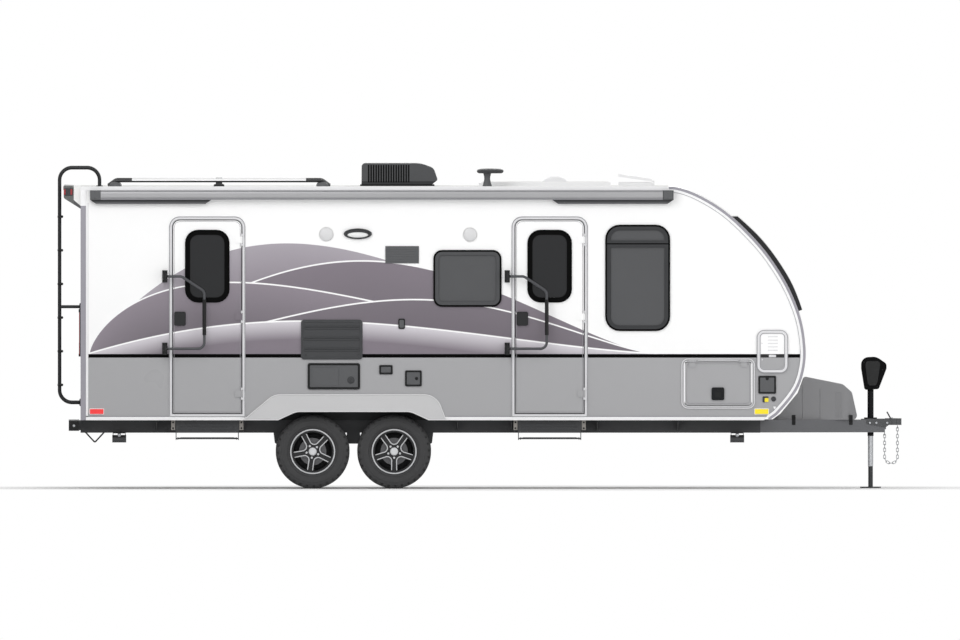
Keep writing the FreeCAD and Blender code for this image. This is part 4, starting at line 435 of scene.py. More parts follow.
def extruded(form, faces, depth):
    """Pulls faces out along Y and gives back the vertices that moved."""
    raised = bmesh.ops.extrude_face_region(form, geom=faces)
    moved = [item for item in raised["geom"] if isinstance(item, bmesh.types.BMVert)]
    bmesh.ops.translate(form, verts=moved, vec=(0, depth, 0))
    return moved


def rim_of(form, faces, width):
    """Leaves only a band along the edge of some faces."""
    ring = bmesh.ops.inset_region(form, faces=faces, thickness=width, use_even_offset=True, use_boundary=True)
    bmesh.ops.delete(form, geom=faces, context="FACES")
    return ring["faces"]


def slab(form, x, z, y, radius=0.0, rim=0.0, square_foot=False):
    """A plate facing along Y with rounded corners, or only its rim; x, z and y are (low, high)."""
    before = set(form.faces)
    spots = [form.verts.new((px, y[0], pz)) for px, pz in ((x[0], z[0]), (x[1], z[0]), (x[1], z[1]), (x[0], z[1]))]
    form.faces.new(spots)
    if radius:
        bmesh.ops.bevel(form, geom=spots[2:] if square_foot else spots, offset=radius, offset_type="OFFSET",
                        segments=6, profile=0.5, affect="VERTICES", material=-1)
    faces = [face for face in form.faces if face not in before]
    return extruded(form, rim_of(form, faces, rim) if rim else faces, y[1] - y[0])


def wall_slab(form, side, x, z, rise, radius=0.0, rim=0.0, base=0.0, square_foot=False):
    """A slab that stands on a side wall, from base to base plus rise in front of it."""
    return slab(form, x, z, across(side, SIDE + base, SIDE + base + rise), radius, rim, square_foot)


def plates(name, coating, rows, sides=(RIGHT,), **settings):
    """A piece of wall slabs: each row is x, z, rise, and then radius, rim, base and square foot as needed."""
    form = bmesh.new()
    for side in sides:
        for row in rows:
            wall_slab(form, side, *row)
    piece(name, form, coating, **settings)


def turned(form, profile, centre, axis, steps=40):
    """A round body: profile is (radius, distance along the axis) from end to end."""
    axis = Vector(axis)
    side = axis.orthogonal().normalized()
    spots = [form.verts.new(Vector(centre) + axis * along + side * radius) for radius, along in profile]
    edges = [form.edges.new(pair) for pair in zip(spots, spots[1:])]
    bmesh.ops.spin(form, geom=spots + edges, cent=centre, axis=axis, dvec=(0, 0, 0), angle=2 * math.pi,
                   steps=steps, use_merge=True)
    bmesh.ops.remove_doubles(form, verts=form.verts[:], dist=1e-6)


def cap(radius, height):
    """The profile of a shallow round cap, for lenses, plugs and bolt heads."""
    return [(radius, 0.0), (radius, height * 0.35), (radius * 0.86, height * 0.75), (radius * 0.5, height * 0.95),
            (0.0, height)]


def knob(form, side, x, z, profile, base=0.0, steps=24):
    """A round body that stands on a side wall."""
    turned(form, profile, (x, side * (SIDE + base), z), (0, side, 0), steps)


def bar(form, start, end, radius, segments=12):
    """A round bar with closed ends."""
    start, end = Vector(start), Vector(end)
    run = end - start
    turn = run.to_track_quat("Z", "Y").to_matrix().to_4x4()
    bmesh.ops.create_cone(form, cap_ends=True, cap_tris=False, segments=segments, radius1=radius, radius2=radius,
                          depth=run.length, matrix=Matrix.Translation((start + end) / 2) @ turn)


def flat_faces_of(node, side, level, reach=0.004):
    """The faces of a CAD node that lie at one distance from the centre plane, merged into a new bmesh."""
    form = bmesh.new()
    form.from_mesh(NODES[node].data)
    bmesh.ops.remove_doubles(form, verts=form.verts[:], dist=1e-5)
    away = [face for face in form.faces
            if face.normal.y * side < 0.99 or abs(face.calc_center_median().y * side - level) > reach]
    bmesh.ops.delete(form, geom=away, context="FACES")
    return form


def moulding_over(name, node, coating):
    """A raised moulding that follows the visible edge of a panel on both sides."""
    whole, rise = bmesh.new(), 0.009
    for side in BOTH:
        form = flat_faces_of(node, side, SIDE)
        extruded(form, form.faces[:], side * rise)
        join(whole, form)
    piece(name, whole, coating, slot="wall_panel")


def nose_strip(whole, side, inset, width, rise):
    """A flat strip on a side wall, from the nose's own skin squeezed against the wall and thickened inwards."""
    form = bmesh.new()
    form.from_mesh(NODES["nose"].data)
    bmesh.ops.remove_doubles(form, verts=form.verts[:], dist=1e-5)
    inside, edge, kept = Vector((1.8, 0, 1.7)), side * SIDE, 0.02
    away = [face for face in form.faces if abs(face.normal.y) > 0.1 or face.normal.x < -0.3
            or face.normal.dot(face.calc_center_median() - inside) < 0]
    bmesh.ops.delete(form, geom=away, context="FACES")
    bmesh.ops.bisect_plane(form, geom=form.verts[:] + form.edges[:] + form.faces[:],
                           plane_co=(0, edge - side * kept, 0), plane_no=(0, side, 0), clear_inner=True)
    bmesh.ops.scale(form, verts=form.verts[:], vec=(1, (rise + 0.001) / kept, 1),
                    space=Matrix.Translation((0, -edge, 0)))
    bmesh.ops.translate(form, verts=form.verts[:], vec=(0, side * rise, 0))
    form.normal_update()
    for vert in form.verts:
        vert.co -= vert.normal * inset
    bmesh.ops.solidify(form, geom=form.faces[:], thickness=width)
    join(whole, form)


def build_mouldings():
    """Corner mouldings with their flanges, the foot rail, the white edge strip and the seam lines beside them."""
    moulding_over("nose_moulding", "nose", corner_extrusion)
    moulding_over("rear_moulding", "rear_wall", corner_extrusion)
    moulding_over("roof_moulding", "roof", white_extrusion)
    form, lines = bmesh.new(), bmesh.new()
    for side in BOTH:
        nose_strip(form, side, 0.025, 0.023, 0.0105)
        for run in ((-3.655, -2.215), (-0.285, 2.66)):
            wall_slab(form, side, run, (0.6375, 0.667), 0.007)
            wall_slab(lines, side, run, (0.667, 0.676), 0.004)
        wall_slab(form, side, (-3.655, -3.637), (0.6675, 2.66), 0.004)
        nose_strip(lines, side, 0.047, 0.005, 0.006)
    piece("foot_rail", form, white_extrusion, slot="wall_panel", soften=0.0015)
    piece("seam_lines", lines, grey_extrusion, slot="wall_panel", soften=0.001)
    plates("rear_seam_line", door_extrusion, [((-3.637, -3.632), (0.70, 2.66), 0.003)], BOTH, slot="wall_panel",
           soften=0.001)
    plates("rear_moulding_flange", corner_extrusion, [((-3.667, -3.655), (0.6375, 2.770), 0.0085)], BOTH,
           slot="wall_panel", soften=0.001)


def build_belt():
    """Black vinyl tape along the belt line, split at the doors."""
    frame_half, leaf_half, thick = 0.351, 0.314, 0.0008
    stops = [-3.640, *[stop for middle in DOOR_MIDDLES.values() for stop in about(middle, frame_half)], 2.987]
    form = bmesh.new()
    for run in zip(stops[::2], stops[1::2]):
        wall_slab(form, RIGHT, run, BELT, thick)
    wall_slab(form, LEFT, (stops[0], stops[-1]), BELT, thick)
    piece("belt_tape", form, belt_vinyl)
    for place, middle in DOOR_MIDDLES.items():
        plates(f"{place}_door_belt_tape", belt_vinyl, [(about(middle, leaf_half), BELT, thick, 0, 0, 0.006)],
               body=f"{place}_door")


def build_tyres():
    """Road tyres with four grooves, shoulder lugs and a ribbed side wall."""
    half = [(0.2095, 0.0745), (0.2145, 0.079), (0.222, 0.090), (0.232, 0.0955), (0.236, 0.0935), (0.240, 0.0985),
            (0.262, 0.1022), (0.286, 0.1022), (0.290, 0.0995), (0.300, 0.0985), (0.312, 0.0965), (0.324, 0.0900),
            (0.333, 0.0835), (0.339, 0.0740), (0.3415, 0.0600), (0.3345, 0.0590), (0.3345, 0.0510),
            (0.3425, 0.0500), (0.3435, 0.0260), (0.3355, 0.0250), (0.3355, 0.0170), (0.3438, 0.0160)]
    profile = half + [(radius, -along) for radius, along in reversed(half)]
    steps, lug_step = 96, 3
    for place, middle in WHEELS.items():
        for hand, side in HANDS.items():
            form = bmesh.new()
            centre = Vector((middle, side * WHEEL_PLANE, AXLE_HEIGHT))
            turned(form, profile, centre, (0, 1, 0), steps)
            lugs = []
            for face in form.faces:
                spot = face.calc_center_median() - centre
                radius = math.hypot(spot.x, spot.z)
                step = round(math.atan2(spot.z, spot.x) / (2 * math.pi) * steps - 0.5)
                if 0.3135 < radius < 0.3355 and abs(spot.y) > 0.078 and step % lug_step == 0:
                    lugs.append(face)
            bmesh.ops.inset_individual(form, faces=lugs, thickness=0.0012, depth=-0.006)
            piece(f"{place}_{hand}_road_tyre", form, tyre_rubber, body=f"{place}_{hand}_wheel", slot="tyre",
                  hides=(f"{place}_{hand}_tyre",))


def build_windows():
    """Black rubber round each side window, the stepped face of its frame and the bead round its pane."""
    tall_x, tall_z, wide_half, wide_z, face_base = (1.181, 1.777), (1.470, 2.452), 0.3135, (1.695, 2.217), 0.0118
    seals, faces, tall_faces = bmesh.new(), bmesh.new(), bmesh.new()

    def trim(faces, side, x, z, radius):
        for form, inset, rise, rim, base in ((seals, -0.004, 0.0135, 0.018, 0.0),
                                             (faces, 0.0135, 0.0018, 0.0315, face_base),
                                             (faces, 0.0445, 0.004, 0.0035, 0.004)):
            wall_slab(form, side, shrunk(x, inset), shrunk(z, inset), rise, radius - inset, rim, base)

    for side, middles in ((RIGHT, (-0.105,)), (LEFT, (-0.105, -2.526))):
        trim(tall_faces, side, tall_x, tall_z, 0.130)
        wall_slab(tall_faces, side, shrunk(tall_x, 0.0135), (2.243, 2.309), 0.0022, base=face_base)
        wall_slab(seals, side, shrunk(tall_x, 0.0135), (2.272, 2.284), 0.0030, base=face_base)
        for middle in middles:
            trim(faces, side, about(middle, wide_half), wide_z, 0.078)
    piece("window_seals", seals, seal_rubber, slot="window_frame", soften=0.0015)
    piece("window_faces", faces, window_face, slot="window_frame", soften=0.0006)
    piece("tall_window_faces", tall_faces, tall_window_face, slot="window_frame", soften=0.0006)


def latch(x, z, side, place, body):
    """A paddle latch: a dark cup with a raised edge, a black paddle and its lock."""
    plates(f"{place}_latch", latch_plastic, [(x, z, 0.014, 0.016, 0, 0.006),
                                             (shrunk(x, 0.007), shrunk(z, 0.007), 0.0024, 0.014, 0.010, 0.0195)],
           (side,), body=body, soften=0.0012)
    form = bmesh.new()
    middle, half, cup = (x[0] + x[1]) / 2, (x[1] - x[0]) * 0.23, 0.0198
    wall_slab(form, side, about(middle, half), (z[0] + 0.024, z[1] - 0.040), 0.002, 0.010, base=cup)
    knob(form, side, middle, z[1] - 0.027, cap(0.009, 0.002), cup, 16)
    piece(f"{place}_latch_paddle", form, black_plastic, body=body, soften=0.0008)


def build_doors():
    """Frame lips, window seals, latches and grab handle sleeves of both entry doors."""
    for place, middle in DOOR_MIDDLES.items():
        door, hand_side, grip = f"{place}_door", middle - 0.254, (middle - 0.027, -1.301)
        plates(f"{door}_frame_lip", grey_extrusion,
               [(about(middle, 0.3535), (0.6675, 2.5315), 0.0035, 0.0965, 0.006, 0.0075, True),
                (about(middle, 0.329), (0.692, 2.507), 0.0025, 0.072, 0.005, 0.0075, True)],
               slot="door_frame", soften=0.0012)
        plates(f"{door}_light_seal", seal_rubber,
               [(about(middle, 0.2075), (1.731, 2.409), 0.0022, 0.123, 0.048, 0.0135),
                (about(middle, 0.205), (1.7335, 2.4065), 0.006, 0.121, 0.011, 0.0135)],
               body=door, slot="door_panel", soften=0.0015)
        plates(f"{door}_edge_line", grey_extrusion,
               [(about(middle, 0.309), (0.712, 2.487), 0.0016, 0.056, 0.0035, 0.006, True)],
               body=door, slot="door_frame")
        plates(f"{door}_latch_base", latch_plastic, [(about(hand_side, 0.053), (1.517, 1.646), 0.016, 0.014, 0, 0.006)],
               body=door, soften=0.0015)
        latch(about(hand_side, 0.050), (1.520, 1.643), RIGHT, door, door)
        form = bmesh.new()
        bar(form, (*grip, GRIP[0]), (*grip, GRIP[1]), 0.0175, 20)
        piece(f"{place}_handle_sleeve", form, seal_rubber, body=f"{place}_handle", soften=0.004)


def build_fridge_vent():
    """The refrigerator's vent: three framed slots, each with two slats that lean out at the top."""
    form, slats = bmesh.new(), bmesh.new()
    face, slat_half, slat_rise = 0.0118, 0.0045, 0.006
    for side in BOTH:
        wall_slab(form, side, (-1.654, -1.081), (1.201, 1.572), 0.012, 0.030)
        wall_slab(form, side, (-1.640, -1.095), (1.215, 1.558), 0.004, 0.020, 0.012, face)
        for middle in (1.5015, 1.3975, 1.2960):
            wall_slab(form, side, (-1.626, -1.109), about(middle, 0.017), 0.007, 0.012, 0.006, face)
            for z in about(middle, 0.008):
                moved = wall_slab(slats, side, (-1.619, -1.116), about(z, slat_half), slat_rise, slat_half * 0.6,
                                  base=face)
                lower = [vert for vert in moved if vert.co.z < z]
                bmesh.ops.translate(slats, verts=lower, vec=(0, -side * slat_rise * 0.7, 0))
        for x in (-1.609, -1.128):
            knob(slats, side, x, 1.248, cap(0.0095, 0.004), face, 16)
    piece("fridge_vent", form, vent_plastic, soften=0.002, hides=("wall_fittings",))
    piece("fridge_vent_slats", slats, grey_plastic, soften=0.0008)


def build_heater_door():
    """The heater's outside door: its rim, raised panel, round knob and corner screws."""
    form, knobs, face = bmesh.new(), bmesh.new(), bmesh.new()
    x, z, rim_top = (-1.592, -1.104), (0.923, 1.168), 0.0088
    for side in BOTH:
        wall_slab(form, side, x, z, 0.009, 0.020)
        wall_slab(form, side, x, z, 0.005, 0.020, 0.013, rim_top)
        wall_slab(face, side, shrunk(x, 0.021), shrunk(z, 0.021), 0.004, 0.010, base=rim_top)
        wall_slab(face, side, (-1.560, -1.300), (0.955, 1.136), 0.0025, 0.008, 0.006, 0.0126)
        knob(knobs, side, -1.189, 1.010, [(0.034, 0), (0.034, 0.003), (0.028, 0.005), (0.026, 0.007), (0.0, 0.0075)],
             0.0128, 28)
        wall_slab(knobs, side, (-1.194, -1.184), (0.988, 1.032), 0.0025, 0.003, base=0.0195)
        for screw in ((-1.585, 1.158), (-1.111, 1.158), (-1.585, 0.933), (-1.111, 0.933)):
            knob(knobs, side, *screw, cap(0.005, 0.003), 0.0135, 10)
    piece("heater_door_rim", form, black_plastic, soften=0.0015, hides=("wall_fittings",))
    piece("heater_door_face", face, louvre_plastic, soften=0.0012)
    piece("heater_door_knob", knobs, grey_plastic, soften=0.0008)


def build_small_hatches():
    """Service hatches with their locks, the wall switch and the slotted wall vent."""
    form, face, knobs = bmesh.new(), bmesh.new(), bmesh.new()
    for x, z, radius, sides in (((-0.686, -0.530), (0.951, 1.100), 0.014, BOTH),
                                ((-0.926, -0.801), (1.063, 1.150), 0.010, (RIGHT,)),
                                ((2.602, 2.767), (0.883, 1.050), 0.012, (RIGHT,))):
        for side in sides:
            wall_slab(form, side, x, z, 0.010, radius, 0.014)
            wall_slab(form, side, shrunk(x, 0.006), shrunk(z, 0.006), 0.004, radius * 0.6)
            wall_slab(face, side, shrunk(x, 0.017), shrunk(z, 0.017), 0.0085, radius * 0.6)
    for x, z in ((-0.578, 1.025), (2.684, 1.024)):
        knob(knobs, RIGHT, x, z, [(0.015, 0), (0.015, 0.003), (0.010, 0.005), (0.009, 0.009), (0.0, 0.0095)],
             0.0084, 20)
    wall_slab(form, RIGHT, (-0.748, -0.686), (1.485, 1.582), 0.008, 0.014)
    wall_slab(face, RIGHT, (-0.738, -0.696), (1.497, 1.570), 0.008, 0.010, base=0.0078)
    piece("hatch_rims", form, black_plastic, soften=0.0012, hides=("wall_fittings",))
    piece("hatch_faces", face, louvre_plastic, soften=0.001)
    piece("hatch_knobs", knobs, black_plastic, soften=0.0005)
    slats = [((-0.855, -0.570), about(2.120 + row * 0.0226, 0.006), 0.003, 0.004, 0, 0.0068) for row in range(6)]
    plates("wall_vent", louvre_plastic, [((-0.869, -0.556), (2.096, 2.257), 0.007, 0.003), *slats], soften=0.001,
           hides=("wall_fittings",))


def build_front_hatch():
    """A tall service hatch with a raised pale rim and short louvres, and the power socket below it."""
    plates("front_hatch_lines", grey_extrusion, [((2.588, 2.878), (1.076, 1.476), 0.0135, 0.069, 0.006),
                                                 ((2.616, 2.850), (1.104, 1.448), 0.0135, 0.041, 0.006)],
           slot="door_frame", soften=0.001)
    plates("front_hatch_rim", door_extrusion, [((2.590, 2.876), (1.078, 1.474), 0.012, 0.067, 0.033)],
           slot="door_frame", soften=0.002, hides=("wall_fittings",))
    plates("front_hatch_leaf", gelcoat, [((2.612, 2.854), (1.100, 1.452), 0.006, 0.045)], slot="wall_panel",
           soften=0.0015)
    slats, leaf_top = bmesh.new(), 0.0055
    wall_slab(slats, RIGHT, (2.700, 2.766), (1.222, 1.246), 0.008, 0.004, base=leaf_top)
    for row in range(5):
        wall_slab(slats, RIGHT, (2.690, 2.783), about(1.4135 - row * 0.0314, 0.0035), 0.004, 0.002, base=leaf_top)
    for z in (1.352, 1.198):
        knob(slats, RIGHT, 2.637, z, cap(0.007, 0.004), leaf_top, 14)
    piece("front_hatch_louvres", slats, door_extrusion, slot="door_frame", soften=0.0008)
    socket = bmesh.new()
    knob(socket, RIGHT, 2.7435, 0.834, [(0.0235, 0), (0.0235, 0.008), (0.019, 0.010), (0.017, 0.005), (0.0, 0.005)],
         steps=28)
    wall_slab(socket, RIGHT, (2.642, 2.664), (0.803, 0.858), 0.008, 0.006)
    wall_slab(socket, RIGHT, (2.660, 2.696), (0.842, 0.858), 0.008, 0.005)
    piece("power_socket", socket, grey_plastic, soften=0.0008)
    plates("socket_tag", amber_lens, [((2.661, 2.697), (0.806, 0.843), 0.010, 0.007)], soften=0.001)


def build_lockers():
    """Frame lips, latches and edge lines of the luggage doors."""
    plates("locker_frame_lips", door_extrusion, [((1.8865, 2.5695), (0.7445, 1.2105), 0.003, 0.060, 0.008, 0.0078),
                                                 ((1.906, 2.550), (0.764, 1.191), 0.003, 0.040, 0.007, 0.0078)],
           BOTH, slot="door_frame", soften=0.0008)
    for hand, side in HANDS.items():
        latch((2.167, 2.285), (0.823, 0.942), side, f"{hand}_locker", f"{hand}_locker_door")
        plates(f"{hand}_locker_edge_line", grey_extrusion,
               [((1.934, 2.522), (0.792, 1.163), 0.0018, 0.028, 0.0035, 0.006)], (side,),
               body=f"{hand}_locker_door", slot="door_frame")


def build_speakers_and_lamp():
    """Two outside speakers and the oval porch lamp."""
    domes, rings, rim, cover = bmesh.new(), bmesh.new(), bmesh.new(), bmesh.new()
    for x, z in ((-1.418, 2.367), (-0.080, 2.364)):
        knob(rings, RIGHT, x, z, [(0.069, 0), (0.069, 0.005), (0.067, 0.008), (0.065, 0.007), (0.064, 0.002),
                                  (0.0, 0.002)], steps=48)
        knob(domes, RIGHT, x, z, [(0.0635, 0.0025), (0.060, 0.012), (0.048, 0.019), (0.028, 0.024), (0.0, 0.026)],
             steps=40)
    piece("speaker_rings", rings, white_plastic, slot="white_plastic", hides=("wall_fittings",))
    piece("speaker_domes", domes, pale_plastic, slot="white_plastic")
    lamp, lamp_ratio = Vector((-1.125, -SIDE, 2.371)), 2.63
    turned(rim, [(0.050, 0.0), (0.050, 0.018), (0.045, 0.024), (0.042, 0.020), (0.040, 0.008), (0.0, 0.008)],
           lamp, (0, -1, 0), 64)
    turned(cover, [(0.0375, 0.007), (0.034, 0.015), (0.022, 0.020), (0.0, 0.022)], lamp, (0, -1, 0), 64)
    for form, drop, height in ((rim, 0.0, 1), (cover, -0.011, 0.7)):
        oval = Matrix.Translation(lamp + Vector((0, 0, drop))) @ Matrix.Diagonal((lamp_ratio, 1, height, 1))
        bmesh.ops.transform(form, matrix=oval @ Matrix.Translation(-lamp), verts=form.verts[:])
    piece("porch_lamp_rim", rim, lamp_rim, hides=("wall_fittings",))
    piece("porch_lamp_lens", cover, clear_lens, slot="white_plastic")


def build_skirt_beads():
    """A rolled bead round the edge of each wheel skirt."""
    whole = bmesh.new()
    for side in BOTH:
        form = flat_faces_of("fender_skirts", side, SIDE + 0.012)
        bmesh.ops.dissolve_faces(form, faces=form.faces[:], use_verts=False)
        extruded(form, rim_of(form, form.faces[:], 0.009), side * 0.005)
        join(whole, form)
    piece("skirt_beads", whole, bead_plastic, slot="skirt_plastic", soften=0.0015)


def build_awning():
    """Grooves of the rolled case, its pull bar, and end plates with their screws."""
    low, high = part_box("awning")
    front, case = low.y, shrunk((low.x, high.x), 0.1)
    form = bmesh.new()
    for z in (high.z - 0.010, low.z + 0.052):
        slab(form, case, about(z, 0.002), (front - 0.0012, front + 0.004))
    slab(form, case, (low.z + 0.038, low.z + 0.047), (front + 0.008, front + 0.020), 0.003)
    piece("awning_grooves", form, grey_extrusion, slot="awning_case")
    form = bmesh.new()
    for x in (low.x, high.x - 0.098):
        slab(form, (x + 0.008, x + 0.090), (low.z + 0.046, high.z - 0.012), (front + 0.001, front + 0.008), 0.004)
        for z in (low.z + 0.058, high.z - 0.026):
            turned(form, cap(0.008, 0.004), (x + 0.049, front + 0.001, z), (0, -1, 0), 12)
    piece("awning_end_plates", form, foot_plastic, soften=0.002)


def build_roof_details():
    """Cooler pan and black sheets over its slots as painted shade, rail feet, skylight trim, antenna disc and its
    waisted stem.
    """
    low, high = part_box("air_conditioner")
    form = bmesh.new()
    for side in BOTH:
        slab(form, (low.x + 0.003, high.x - 0.028), (ROOF_TOP + 0.003, ROOF_TOP + 0.014),
             across(side, high.y + 0.001, high.y - 0.006), 0.004)
        # black sheets over the side slots: painted shade that stands for the dark inside of each slot
        for slot in range(17):
            x = low.x + 0.0745 + slot * 0.0233
            slab(form, (x, x + 0.013), (ROOF_TOP + 0.034, high.z - 0.016), across(side, high.y, high.y + 0.0006))
    piece("cooler_trim_and_slot_shade", form, seal_rubber, soften=0.0015)
    low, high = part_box("roof_rails")
    feet, domes, middle = bmesh.new(), bmesh.new(), (low.x + high.x) / 2
    for y in shrunk((low.y, high.y), 0.0165):
        slab(feet, about(middle, 0.05), (ROOF_TOP, ROOF_TOP + 0.008), about(y, 0.035), 0.003)
        for x in about(middle, 0.036):
            turned(feet, cap(0.007, 0.005), (x, y, ROOF_TOP + 0.008), UP, 12)
        for x in shrunk((low.x, high.x), 0.075):
            turned(domes, [(0.060, 0), (0.060, 0.006), (0.052, 0.022), (0.038, 0.034), (0.020, 0.040), (0.0, 0.042)],
                   (x, y, ROOF_TOP), UP, 32)
    piece("rail_feet", feet, black_plastic, soften=0.002)
    piece("rail_end_domes", domes, foot_plastic)
    low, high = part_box("skylight")
    form, level = bmesh.new(), (ROOF_TOP + 0.030, ROOF_TOP + 0.040)
    for x in (low.x + 0.02, high.x - 0.032):
        slab(form, (x, x + 0.012), level, shrunk((low.y, high.y), 0.03), 0.003)
    for y in (low.y + 0.02, high.y - 0.032):
        slab(form, shrunk((low.x, high.x), 0.02), level, (y, y + 0.012), 0.003)
    piece("skylight_trim", form, white_plastic, slot="white_plastic", soften=0.002)
    low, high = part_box("antenna")
    disc, stem, y = bmesh.new(), bmesh.new(), (low.y + high.y) / 2
    turned(disc, [(0.0, -0.046), (0.104, -0.046), (0.120, -0.038), (0.1255, -0.024), (0.119, -0.012),
                  (0.094, -0.004), (0.05, -0.001), (0.0, 0.0)], ((low.x + high.x) / 2, y, high.z - 0.0005), UP, 48)
    turned(stem, [(0.0, 0.0), (0.043, 0.0), (0.043, 0.006), (0.035, 0.030), (0.0275, 0.066), (0.029, 0.088),
                  (0.037, 0.124), (0.0, 0.128)], (low.x + 0.098, y, ROOF_TOP), UP, 32)
    piece("antenna_disc", disc, grey_plastic, slot="white_plastic", hides=("antenna",))
    piece("antenna_stem", stem, foot_plastic, slot="white_plastic", hides=("antenna",))


def build_ladder():
    """Ribbed treads on the rungs, rubber discs at their ends and plugs where the tubes meet the wall."""
    low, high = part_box("ladder_rungs")
    form = bmesh.new()
    for rung in range(RUNG_COUNT):
        z = low.z + 0.016 + rung * RUNG_PITCH
        for strip in range(4):
            x = low.x + 0.004 + strip * 0.0095
            slab(form, (x, x + 0.0055), (z - 0.0005, z + 0.0035), shrunk((low.y, high.y), 0.02), 0.0015)
    piece("rung_treads", form, black_plastic)
    low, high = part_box("ladder_stiles")
    form = bmesh.new()
    for y in shrunk((low.y, high.y), 0.017):
        for z in (0.800, 1.690):
            turned(form, [(0.034, 0), (0.034, 0.006), (0.026, 0.010), (0.018, 0.012)], (BODY_BACK, y, z),
                   (-1, 0, 0), 24)
        for rung in range(RUNG_COUNT):
            turned(form, [(0.0165, -0.011), (0.022, -0.009), (0.0255, 0.0), (0.022, 0.009), (0.0165, 0.011)],
                   (low.x + 0.0262, y, 0.963 + rung * RUNG_PITCH), UP, 24)
    piece("ladder_collars", form, black_plastic)


def build_tail():
    """Lamp pod housings and lenses, tail lamp bezels, bumper caps and their plugs."""
    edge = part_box("lamp_pod")[1].y
    housing, strips = bmesh.new(), bmesh.new()
    for side in BOTH:
        slab(housing, (-3.858, -3.772), (2.726, 2.795), across(side, edge - 0.003, edge + 0.006), 0.012)
        for x in (-3.8615, -3.799):
            slab(strips, (x, x + 0.017), (2.734, 2.787), across(side, edge + 0.005, edge + 0.010), 0.004)
    for y in (-0.9, -0.45, 0.0, 0.45, 0.9):
        bar(strips, (-3.8625, y, 2.790), (-3.866, y, 2.790), 0.014, 16)
    piece("pod_lamp_housings", housing, grey_plastic, soften=0.002)
    piece("pod_lamp_lenses", strips, dark_red_lens, slot="red_lens", soften=0.001)
    form, white = bmesh.new(), bmesh.new()
    for middle in about(0, 1.090):
        for z in (1.237, 1.649):
            slab(form, (BODY_BACK - 0.018, BODY_BACK), about(z, 0.008), about(middle, 0.068))
        for y in about(middle, 0.066):
            slab(form, (BODY_BACK - 0.007, BODY_BACK), (1.232, 1.654), about(y, 0.005))
        slab(white, (BODY_BACK - 0.0165, BODY_BACK - 0.013), (1.262, 1.345), about(middle, 0.052))
    piece("tail_lamp_bezels", form, black_plastic, soften=0.002)
    piece("reverse_lenses", white, clear_lens, slot="white_plastic", soften=0.001)
    low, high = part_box("rear_bumper")
    form, plugs = bmesh.new(), bmesh.new()
    for side in BOTH:
        slab(form, (low.x + 0.003, -3.721), (0.540, 0.628), across(side, high.y - 0.001, high.y + 0.008), 0.012)
        turned(plugs, cap(0.012, 0.004), ((low.x - 3.718) / 2, side * (high.y + 0.008), 0.584), (0, side, 0), 16)
    piece("bumper_caps", form, black_plastic, soften=0.003)
    piece("bumper_plugs", plugs, zinc, slot="zinc_steel")


def build_marker_lamps():
    """Bezels round the side markers."""
    rows = [((x - 0.006, x + 0.131), (0.689, 0.746), 0.006, 0.008, 0.008) for x in (-3.617, 2.570)]
    plates("marker_bezels", white_plastic, rows, BOTH, slot="white_plastic", soften=0.001)


def build_tank_cover():
    """Flutes on the gas bottle cover and the straps that hold it to the tongue's arms."""
    low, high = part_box("tank_cover")
    half, narrowing, strap = 0.3, 0.066 / (high.x - low.x), 0.034
    form, straps = bmesh.new(), bmesh.new()
    for side in BOTH:
        for x, width, drop in ((3.010, 0.010, 0.050), (3.174, 0.012, 0.080), (3.313, 0.060, 0.115)):
            reach = half - (x + width / 2 - low.x) * narrowing
            slab(form, (x, x + width), (low.z + 0.012, high.z - drop - 0.03),
                 across(side, reach - 0.008, reach + 0.003), 0.004)
        for x in (2.914, 3.446):
            arm = 0.0765 + (3.780 - x - 0.019) * 0.351
            wall = half - (x + 0.019 - low.x) * narrowing
            for z, reach, radius in (((0.588, 0.640), (arm + 0.002, arm + 0.007), 0.004),
                                     ((0.637, 0.641), (arm + 0.005, wall), 0.0),
                                     ((0.638, 0.681), (wall - 0.006, wall + 0.005), 0.004)):
                slab(straps, (x, x + strap), z, across(side, *reach), radius)
    piece("cover_flutes", form, cover_plastic, slot="cover_plastic", soften=0.002)
    piece("cover_straps", straps, black_plastic, soften=0.001)


def build_jack_details():
    """Tapered side panels and screws on the electric jack's housing."""
    x, foot, top = 3.646, 0.952, 1.182
    form, knobs = bmesh.new(), bmesh.new()
    for side in BOTH:
        slab(form, (x - 0.054, x + 0.096), (foot, top), across(side, 0.061, 0.066), 0.040)
        for shift, z in ((-0.062, 1.170), (0.112, 1.100), (-0.044, 0.940), (0.062, 0.940)):
            turned(knobs, cap(0.006, 0.003), (x + shift, side * 0.062, z), (0, side, 0), 10)
    for vert in form.verts:
        share = (vert.co.z - foot) / (top - foot)
        vert.co.x = x + 0.012 + (vert.co.x - x - 0.012) * (0.58 + 0.42 * share)
    piece("jack_panels", form, panel_plastic, slot="jack_paint", soften=0.003)
    piece("jack_screws", knobs, black_plastic, soften=0.001)


def build_coupler_bolts():
    """Hexagon bolts through the coupler's cheeks and the pin of its latch."""
    form = bmesh.new()
    for side in BOTH:
        for x, y in ((3.801, 0.0755), (3.700, 0.111), (3.640, 0.132)):
            bar(form, (x, side * y, 0.606), (x, side * (y + 0.012), 0.606), 0.011, 6)
    bar(form, (3.846, -0.020, 0.650), (3.846, 0.020, 0.650), 0.006, 12)
    piece("coupler_bolts", form, zinc, slot="zinc_steel", soften=0.0008)


